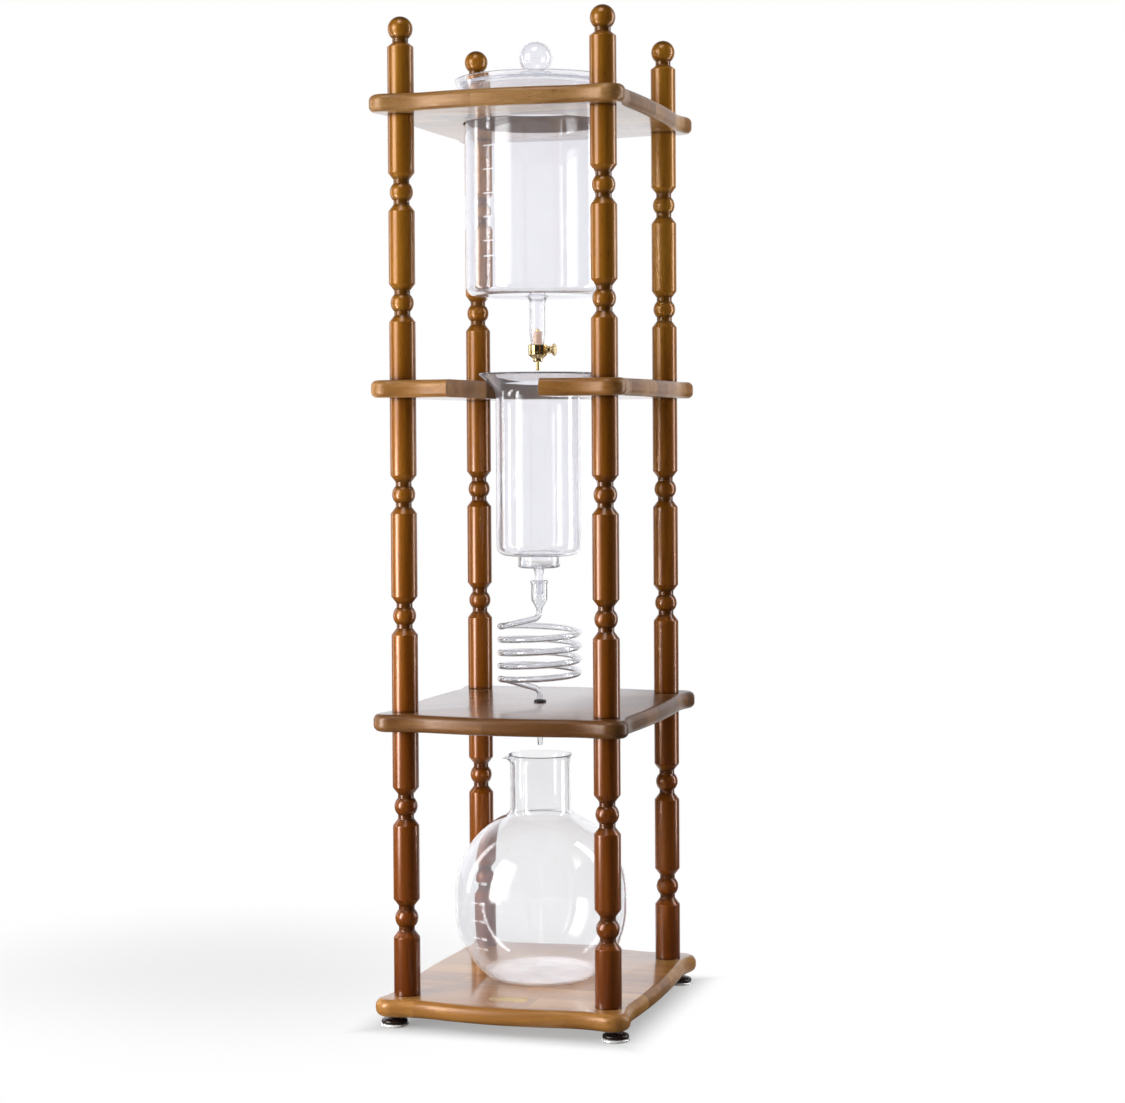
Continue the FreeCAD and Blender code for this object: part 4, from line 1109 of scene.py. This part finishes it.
def make_coil():
    """One glass piece: socket, winding and drip tip. The ring starts at the tip and climbs."""
    up = Vector((0, 0, 1))
    tip, throat = CARAFE_LIP + 10.0, CARAFE_LIP + 19.0
    end_bend, corner_run = 8.0, 12.0
    low_point, low_heading = on_winding(START - 360 * TURNS)
    top_point, top_heading = on_winding(START)
    low_axis, high_axis = up * LOW_BEND, up * HIGH_BEND
    low_corner = low_point - low_heading * corner_run
    high_corner = top_point + top_heading * corner_run
    outward = (low_corner - low_axis).normalized()
    inward = (high_axis - high_corner).normalized()
    low_run = end_bend * math.tan(up.angle(outward) / 2)
    high_run = end_bend * math.tan(inward.angle(up) / 2)

    rest()
    bpy.ops.mesh.primitive_circle_add(vertices=24, radius=TIP_R * MM, location=up * tip * MM)
    piece = bpy.context.object
    piece.name = piece.data.name = "drip_coil_glass"
    bpy.ops.object.mode_set(mode="EDIT")
    bpy.ops.mesh.select_mode(type="VERT")
    bpy.ops.mesh.select_all(action="SELECT")

    pulled(up * (throat - tip), TUBE_R / TIP_R, up * throat)
    pulled(up * (LOW_BEND - low_run - throat))
    bent(low_axis, up, outward, low_run, 10)
    pulled(outward * ((low_corner - low_axis).length - low_run - corner_run))
    bent(low_corner, outward, low_heading, corner_run, 12)
    grown(up * 0, up, math.tau * TURNS, 260, PITCH * TURNS)
    bent(high_corner, top_heading, inward, corner_run, 12)
    pulled(inward * ((high_corner - high_axis).length - high_run - corner_run))
    bent(high_axis, inward, up, high_run, 10)
    pulled(up * (SOCKET_FOOT - HIGH_BEND - high_run))
    level, ring_r = SOCKET_FOOT, TUBE_R
    for radius, rise in SOCKET:
        level += rise
        pulled(up * rise, radius / ring_r, up * level)
        ring_r = radius

    bpy.ops.mesh.select_all(action="SELECT")
    bpy.ops.mesh.normals_make_consistent(inside=False)
    bpy.ops.object.mode_set(mode="OBJECT")
    bpy.ops.object.shade_smooth()
    outward_check(piece)
    modify(piece, "SOLIDIFY", thickness=TUBE_WALL * MM, offset=-1.0, use_even_offset=True)
    bpy.ops.object.shade_smooth_by_angle(angle=math.radians(50))
    finished(piece, TUBE_GLASS, "coil", "coil_glass", "drip_coil")


def outward_check(piece):
    """An open tube's faces can come out turned inwards; turn them if the first one is."""
    face = piece.data.polygons[0]
    centre = face.center.copy()
    centre.z = 0
    if face.normal.dot(centre) < 0:
        choose(piece)
        bpy.ops.object.mode_set(mode="EDIT")
        bpy.ops.mesh.select_all(action="SELECT")
        bpy.ops.mesh.flip_normals()
        bpy.ops.object.mode_set(mode="OBJECT")


# ---------------------------------------------------------------------------
# Carafe
# ---------------------------------------------------------------------------


def bowl(radius, inset):
    """Outline of the carafe from its foot to its neck, moved inwards by inset."""
    corner = 18.0 - inset
    corner_z = CARAFE_FOOT + inset + corner
    low_z = corner_z + math.sqrt((radius - corner) ** 2 - CARAFE_FOOT_R ** 2)
    high_z = low_z + BELT
    neck, fillet = CARAFE_NECK_R - inset, 10.0 + inset
    fillet_z = high_z + math.sqrt((radius + fillet) ** 2 - (neck + fillet) ** 2)

    def on_circle(r, z, size, angle):
        return r + size * math.cos(angle), z + size * math.sin(angle)

    low = math.atan2(corner_z - low_z, CARAFE_FOOT_R)
    high = math.atan2(fillet_z - high_z, neck + fillet)
    return [
        (CARAFE_FOOT_R, CARAFE_FOOT + inset),
        on_circle(CARAFE_FOOT_R, corner_z, corner, (low - math.pi / 2) / 2)
        + on_circle(0, low_z, radius, low),
        on_circle(0, low_z, radius, low / 2) + (radius, low_z),
        (radius, high_z),
        on_circle(0, high_z, radius, high / 2) + on_circle(0, high_z, radius, high),
        on_circle(neck + fillet, fillet_z, fillet, math.pi + high / 2) + (neck, fillet_z),
    ]


def neck_rings(radius):
    """Points up the carafe's neck, closer below the lip where the beak is drawn out."""
    return [(radius, CARAFE_LIP - below) for below in (36, 24, 12, 10, 8.5, 7)]


def make_carafe():
    neck_r, bore, lip = CARAFE_NECK_R, CARAFE_NECK_R - WALL, CARAFE_LIP
    outside = outline(
        [(0, CARAFE_FOOT + 1.2), (30, CARAFE_FOOT + 0.9), (44, CARAFE_FOOT)]
        + bowl(CARAFE_R, 0) + neck_rings(neck_r)
        + [(neck_r + 0.3, lip - 3, neck_r + 1.6, lip - 0.9)])
    over = [Vector((neck_r + 1.1, 0, lip - 0.1)), Vector((neck_r, 0, lip)),
            Vector((neck_r - 0.8, 0, lip - 0.5))]
    inside = outline(
        [(0, CARAFE_FOOT + WALL + 0.6), (40, CARAFE_FOOT + WALL + 0.2)]
        + bowl(CARAFE_R - WALL, WALL) + neck_rings(bore)
        + [(bore + 0.3, lip - 3, bore + 1.3, lip - 1.2)])
    piece = draw("carafe_glass", outside + over + inside[::-1], False)
    bpy.ops.mesh.spin(steps=160, angle=math.tau, center=(0, 0, 0), axis=(0, 0, 1))
    tidy_mesh(40.0)
    draw_beak(piece)
    finished(piece, CARAFE_GLASS, "carafe", "carafe_glass", "carafe")


def draw_beak(piece):
    """Draw the carafe's lip out and down to a pouring beak."""
    for vertex in piece.data.vertices:
        x, y, z = vertex.co / MM
        radius = math.hypot(x, y)
        if z < CARAFE_LIP - 22 or radius < 25:
            continue
        off = (math.atan2(y, x) - BEAK_AIM + math.pi) % math.tau - math.pi
        side = math.exp(-(off / BEAK_SPREAD) ** 2)
        climb = min(1.0, max(0.0, (z - CARAFE_LIP + BEAK_RISE + 0.5) / BEAK_RISE)) ** 1.3
        wider = (radius + BEAK_REACH * side * climb) / radius
        vertex.co = Vector((x * wider, y * wider, z - BEAK_DROP * side * climb ** 2)) * MM


def lean_back(piece, level, lean):
    """Tilt a mark about its own level, to lie on the round side of the carafe."""
    for vertex in piece.data.vertices:
        rise = vertex.co.z - level * MM
        reach = math.hypot(vertex.co.x, vertex.co.y)
        tilt = (reach - rise * math.sin(lean)) / reach
        vertex.co.x *= tilt
        vertex.co.y *= tilt
        vertex.co.z = level * MM + rise * math.cos(lean)


def make_carafe_scale():
    high_z = bowl(CARAFE_R, 0)[3][1]
    low_z = high_z - BELT
    parts = []
    for index, level in enumerate(CARAFE_MARKS):
        off = level - min(max(level, low_z), high_z)
        radius = math.sqrt(CARAFE_R ** 2 - off ** 2)
        for piece in mark_at(index, level, radius, *CARAFE_PRINT):
            lean_back(piece, level, math.asin(off / CARAFE_R))
            parts.append(piece)
    scale_of("carafe_scale", parts, "carafe", "carafe_glass")


# ---------------------------------------------------------------------------
# Drip valve
# ---------------------------------------------------------------------------


def make_valve():
    body = turned("valve_brass_body", [
        (0, SPOUT_TIP + 1.5), (1.1, SPOUT_TIP + 1.5), (1.1, SPOUT_TIP), (2.1, SPOUT_TIP, 0.4),
        (2.1, VALVE_COLLAR), (4.6, VALVE_COLLAR, 0.5), (5.6, VALVE_COLLAR + 1.2, 0.5),
        (5.6, VALVE_TAPER, 0.8), (7.4, VALVE_TAPER + 1.2, 0.6),
        (VALVE_R, VALVE_CUP + 0.6, 1.2), (VALVE_R, VALVE_CUP + 2.6, 0.3),
        (VALVE_R - 0.5, VALVE_CUP + 3.1), (VALVE_R - 0.5, VALVE_CUP + 3.6),
        (VALVE_R, VALVE_CUP + 4.1, 0.3), (VALVE_R, VALVE_TOP, 1.3),
        (8.6, VALVE_TOP, 0.4), (8.2, VALVE_TOP - 0.5, 0.3), (SHANK_R, VALVE_TOP - 0.5),
        (SHANK_R, SHANK_TOP, 0.5), (1.1, SHANK_TOP), (1.1, SHANK_TOP - 2), (0, SHANK_TOP - 2),
    ], False, 96, 28.0)
    boss = turned("boss", [
        (0, 8.5), (3.6, 8.5), (3.6, 10.9, 0.2), (4.2, 11.1, 0.3), (4.2, NUT_FOOT - 0.4, 0.4),
        (3.4, NUT_FOOT), (0, NUT_FOOT),
    ], False, 64)
    join(body, lay_along_x(boss, NEEDLE))
    finished(body, BRASS, "tank", "valve_brass", "valve_body")

    nut = turned("valve_packing_nut", [
        (0, NUT_FOOT), (4.0, NUT_FOOT), (4.6, NUT_FOOT + 0.3), (4.6, NUT_FOOT + 2.3),
        (4.0, NUT_FOOT + 2.6), (0, NUT_FOOT + 2.6),
    ], False, 6, 15.0)
    lay_along_x(nut, NEEDLE)
    finished(nut, BRASS, "tank", "valve_brass", "packing_nut")

    stopper_bore, stopper_foot, stopper_top = SHANK_R + 0.03, VALVE_TOP + 0.02, VALVE_TOP + 15
    stopper = turned("valve_stopper_cone", [
        (stopper_bore, stopper_foot), (5.84, stopper_foot), (5.45, VALVE_TOP + 3.9),
        (5.25, VALVE_TOP + 4.1), (4.4, stopper_top, 0.8), (stopper_bore, stopper_top, 0.3),
    ], True, 64)
    finished(stopper, STOPPER, "tank", "stopper_silicone", "valve_stopper")

    needle = turned("valve_needle_rod", [
        (0, -1.6), (0.4, -1.6), (1.5, 0.2), (1.5, 14.9), (1.35, 15.1), (1.35, 15.5), (1.5, 15.7),
        (1.5, 20.0), (0, 20.0),
    ], False, 48)
    lay_along_x(needle, NEEDLE)
    finished(needle, STEEL, "needle", "needle_steel", "valve_needle")

    knob = turned("valve_knob_disc", [
        (0, 16.2), (4.2, 16.2, 0.3), (4.2, 18.4, 0.2), (6.4, 18.4, 0.4), (7.0, 18.9, 0.4),
        (7.0, 20.2, 0.4), (6.3, 20.8, 0.5), (5.4, 20.8), (5.1, 20.5), (0, 20.5),
    ], False, 120, 28.0)
    for vertex in knob.data.vertices:
        radius = math.hypot(vertex.co.x, vertex.co.y) / MM
        if radius > 6.5:
            ridge = 0.5 + 0.5 * math.cos(FLUTES * math.atan2(vertex.co.y, vertex.co.x))
            size = (radius - FLUTE_DEPTH * (1 - ridge)) / radius
            vertex.co.x *= size
            vertex.co.y *= size
    lay_along_x(knob, NEEDLE)
    finished(knob, BRASS, "knob", "knob_brass", "valve_knob")


# ---------------------------------------------------------------------------
# Grommet and levelling feet
# ---------------------------------------------------------------------------


def make_grommet():
    bore, head = TUBE_R + 0.08, SHELF_FACE + 2.4
    piece = turned("shelf_grommet_rubber", [
        (bore, SHELF, 0.3), (5.6, SHELF, 0.3), (5.6, SHELF_FACE), (6.9, SHELF_FACE, 0.3),
        (6.9, head, 0.9), (bore, head, 0.5),
    ], True, 72)
    finished(piece, RUBBER, "frame", "grommet_rubber", "shelf_grommet")


def make_feet():
    pad_top, stud_r = 2.8, 3.97
    thread = []
    for step in range(THREAD_TURNS):
        level = 4.5 + step * THREAD_STEP
        thread += [(stud_r, level), (3.6, level + THREAD_STEP / 2)]
    pad = turned("pattern_pad", [
        (0, 0.4), (10.5, 0.4), (11.5, 0), (14.3, 0, 0.4), (15.5, 0.9, 0.5), (15.2, 1.9, 0.5),
        (14.4, 2.7, 0.4), (0, pad_top),
    ], False, 72)
    hub = turned("pattern_hub", [
        (4.03, pad_top), (12.6, pad_top, 0.3), (14.3, 3.6, 0.5), (14.3, 6.4, 1.3), (9.5, 7.98, 0.5),
        (7.2, 8.0, 0.4), (6.9, 8.8, 0.4), (4.03, 8.8),
    ], True, 72)
    stud = turned("pattern_stud", [
        (0, pad_top), (stud_r, pad_top), *thread, (stud_r, 22.9, 0.5), (3.3, 23.5), (0, 23.5),
    ], False, 48)
    for corner, (x, y) in CORNERS.items():
        x += math.copysign(FOOT_OUT, x)
        y += math.copysign(FOOT_OUT, y)
        for pattern, finish, kind, slot in (
            (pad, CHROME, "foot_pad_", "foot_pad_chrome"),
            (hub, HUB, "foot_hub_", "foot_hub_plastic"),
            (stud, STEEL, "foot_stud_", "foot_stud_steel"),
        ):
            piece = twin(pattern, "level_" + kind + corner, x, y, 0)
            finished(piece, finish, "foot_" + corner, slot, kind + corner)
    for pattern in (pad, hub, stud):
        bpy.data.objects.remove(pattern)


def dress_hidden_hardware():
    """The bolts, studs and inserts inside the wood keep their CAD shape."""
    for node, finish in (
        ("base_bolts", STEEL), ("base_washers", STEEL), ("shelf_studs", STEEL), ("middle_studs", STEEL),
        ("top_studs", STEEL), ("post_inserts", BRASS), ("foot_inserts", BRASS), ("packing_ring", RUBBER),
    ):
        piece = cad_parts[node]
        for place in piece.material_slots:
            place.material = finish


# ---------------------------------------------------------------------------
# Camera, floor and light
# ---------------------------------------------------------------------------

# The camera's direction and place, in metres, and its focal length and shift, in pixels of a
# picture that is PICTURE_WIDTH wide
YAW, PITCH_DOWN, ROLL = math.radians(17.02), math.radians(1.14), math.radians(-0.362)
CAMERA_PLACE = (0.8240, -2.5994, 0.6492)
PICTURE_WIDTH, FOCAL_LENGTH, SHIFT_UP = 1125.0, 2408.5, -71.5
SENSOR = 36.0
CLOTH_GAIN = 1.9
FORWARD = Vector((-math.sin(YAW) * math.cos(PITCH_DOWN), math.cos(YAW) * math.cos(PITCH_DOWN),
                  -math.sin(PITCH_DOWN)))


def make_camera():
    right = FORWARD.cross(Vector((0, 0, 1))).normalized()
    above = right.cross(FORWARD)
    across = right * math.cos(ROLL) + above * math.sin(ROLL)
    upward = above * math.cos(ROLL) - right * math.sin(ROLL)
    data = bpy.data.cameras.new("camera")
    data.sensor_fit = "HORIZONTAL"
    data.sensor_width = SENSOR
    data.lens = FOCAL_LENGTH / PICTURE_WIDTH * SENSOR
    data.shift_y = SHIFT_UP / PICTURE_WIDTH
    data.clip_end = 100.0
    camera = bpy.data.objects.new("camera", data)
    turn = Matrix((across, upward, -FORWARD)).transposed()
    camera.matrix_world = Matrix.Translation(CAMERA_PLACE) @ turn.to_4x4()
    bpy.context.collection.objects.link(camera)
    bpy.context.scene.camera = camera


def softbox(name, bearing, distance, height, width, tall, power, aim=0.55, low=1.0):
    """An area lamp at a bearing in degrees from the camera's side, clockwise seen from above,
    turned to a height on the tower; low is the brightness of its lower edge."""
    turn = math.radians(-90 + bearing) + YAW
    place = Vector((math.cos(turn) * distance, math.sin(turn) * distance, height))
    data = bpy.data.lights.new(name, "AREA")
    data.shape = "RECTANGLE"
    data.size, data.size_y, data.energy = width, tall, power
    data.use_nodes = True
    f = Finish(data.node_tree)
    u, v, _ = f.split(f.node("ShaderNodeNewGeometry")["Parametric"])
    sides = u.rise(0.0, 0.35) * (1.0 - u).rise(0.0, 0.35)
    cloth = sides * v.rise(0.0, 0.2) * (1.0 - v).rise(0.0, 0.2) * (low + (1.0 - low) * v.rise(0.25, 0.6))
    glow = f.node("ShaderNodeEmission", {}, {"Strength": cloth * CLOTH_GAIN})["Emission"]
    f.output(glow, "ShaderNodeOutputLight")
    lamp = bpy.data.objects.new(name, data)
    aimed = (Vector((0, 0, aim)) - place).to_track_quat("-Z", "Y").to_matrix().to_4x4()
    lamp.matrix_world = Matrix.Translation(place) @ aimed
    bpy.context.collection.objects.link(lamp)


def make_world():
    """White for the camera. Varnish and glass see a bright wall behind the tower and a dim room
    beside it, glass also sees the bright side that the camera stands on, and all the rest gets
    a faint even light."""
    world = bpy.data.worlds.new("studio")
    world.use_nodes = True
    bpy.context.scene.world = world
    f = Finish(world.node_tree)
    direction = f.node("ShaderNodeTexCoord")["Generated"]
    ahead = f.node("ShaderNodeVectorMath", {"operation": "DOT_PRODUCT"},
                   {0: direction, 1: (-math.sin(YAW), math.cos(YAW), 0.0)})["Value"]
    rays = f.node("ShaderNodeLightPath")
    mirror = rays["Is Glossy Ray"].most(rays["Is Transmission Ray"])
    behind = (0.0 - ahead).rise(0.2, 0.8) * rays["Is Transmission Ray"]
    room = 0.03 + 1.02 * ahead.rise(0.5, 0.88) + 0.8 * behind
    level = rays["Is Camera Ray"] + mirror * room
    seen = rays["Is Camera Ray"].most(mirror)
    level = level.least(1.05) * seen + (1.0 - seen) * 0.22
    tone = f.mix(rays["Is Camera Ray"], colour(0.965, 0.955, 0.99), colour(1, 1, 1))
    f.output(f.node("ShaderNodeBackground", {}, {"Color": tone, "Strength": level})["Background"],
             "ShaderNodeOutputWorld")


def make_floor():
    """White paper, greyer under the tower and where its shadow falls to the left: there the grey paper,
    lit by the lamps with their real shadows, shows through as painted shadow. Varnish and glass see it
    white only in a fan behind the tower."""
    rest()
    bpy.ops.mesh.primitive_circle_add(
        vertices=128, radius=9.0, fill_type="NGON", location=(0, 0, -0.0002))
    floor = bpy.context.object
    floor.name = "floor"
    settle(floor)
    made, f = material("floor_paper")
    x, y, _ = f.split(f.place())
    # Painted shadow: a grey patch left of the tower and a strip under it, partly the lamps' real shadow on
    # the grey paper.
    smear_and_painted_shadow = 1.0 - ((x + 0.42) ** 2.0 + (y - 0.02) ** 2.0).root().rise(0.05, 0.5)
    beside = (abs(x) - HALF_WIDTH * MM).most(abs(y) - HALF_DEPTH * MM)
    under = 1.0 - beside.rise(-0.02, 0.03)
    rays = f.node("ShaderNodeLightPath")
    away = (y * math.cos(YAW) - x * math.sin(YAW) + 0.2).most(0.02)
    aside = abs(x * math.cos(YAW) + y * math.sin(YAW))
    lit = 1.0 - (aside / away).rise(0.45, 1.0)
    mirror = rays["Is Glossy Ray"].most(rays["Is Transmission Ray"])
    seen = rays["Is Camera Ray"].most(mirror * lit)
    share = seen * (1.0 - 0.27 * smear_and_painted_shadow - 0.60 * under)
    sheet = f.layered(share, f.diffuse(colour(0.42, 0.42, 0.425)), f.glow(colour(1, 1, 1)))
    dim = f.diffuse(colour(0.06, 0.06, 0.06))
    f.output(f.layered(rays["Is Glossy Ray"] * (1.0 - lit), sheet, dim))
    floor.data.materials.append(made)


def make_lights():
    softbox("left_softbox", bearing=-58, distance=2.1, height=0.95, width=1.6, tall=2.3,
            power=50.0, low=0.5)
    softbox("left_rim_strip", bearing=-112, distance=1.5, height=0.75, width=0.3, tall=1.7, power=5.0)
    softbox("right_softbox", bearing=97, distance=1.0, height=0.70, width=0.25, tall=2.2,
            power=10.5, aim=0.6)
    softbox("low_softbox", bearing=-62, distance=0.95, height=0.33, width=0.35, tall=0.7,
            power=8.0, aim=0.2)
    softbox("top_softbox", bearing=-20, distance=0.9, height=2.6, width=1.2, tall=1.2, power=12.0)


def main():
    bpy.context.scene.view_settings.view_transform = "Standard"
    make_camera()
    make_world()
    make_floor()
    make_lights()
    make_boards()
    make_plate()
    make_posts()
    make_tank()
    make_tank_scale()
    make_lid()
    make_chamber()
    make_filter()
    make_coil()
    make_carafe()
    make_carafe_scale()
    make_valve()
    make_grommet()
    make_feet()
    dress_hidden_hardware()


main()
rest()
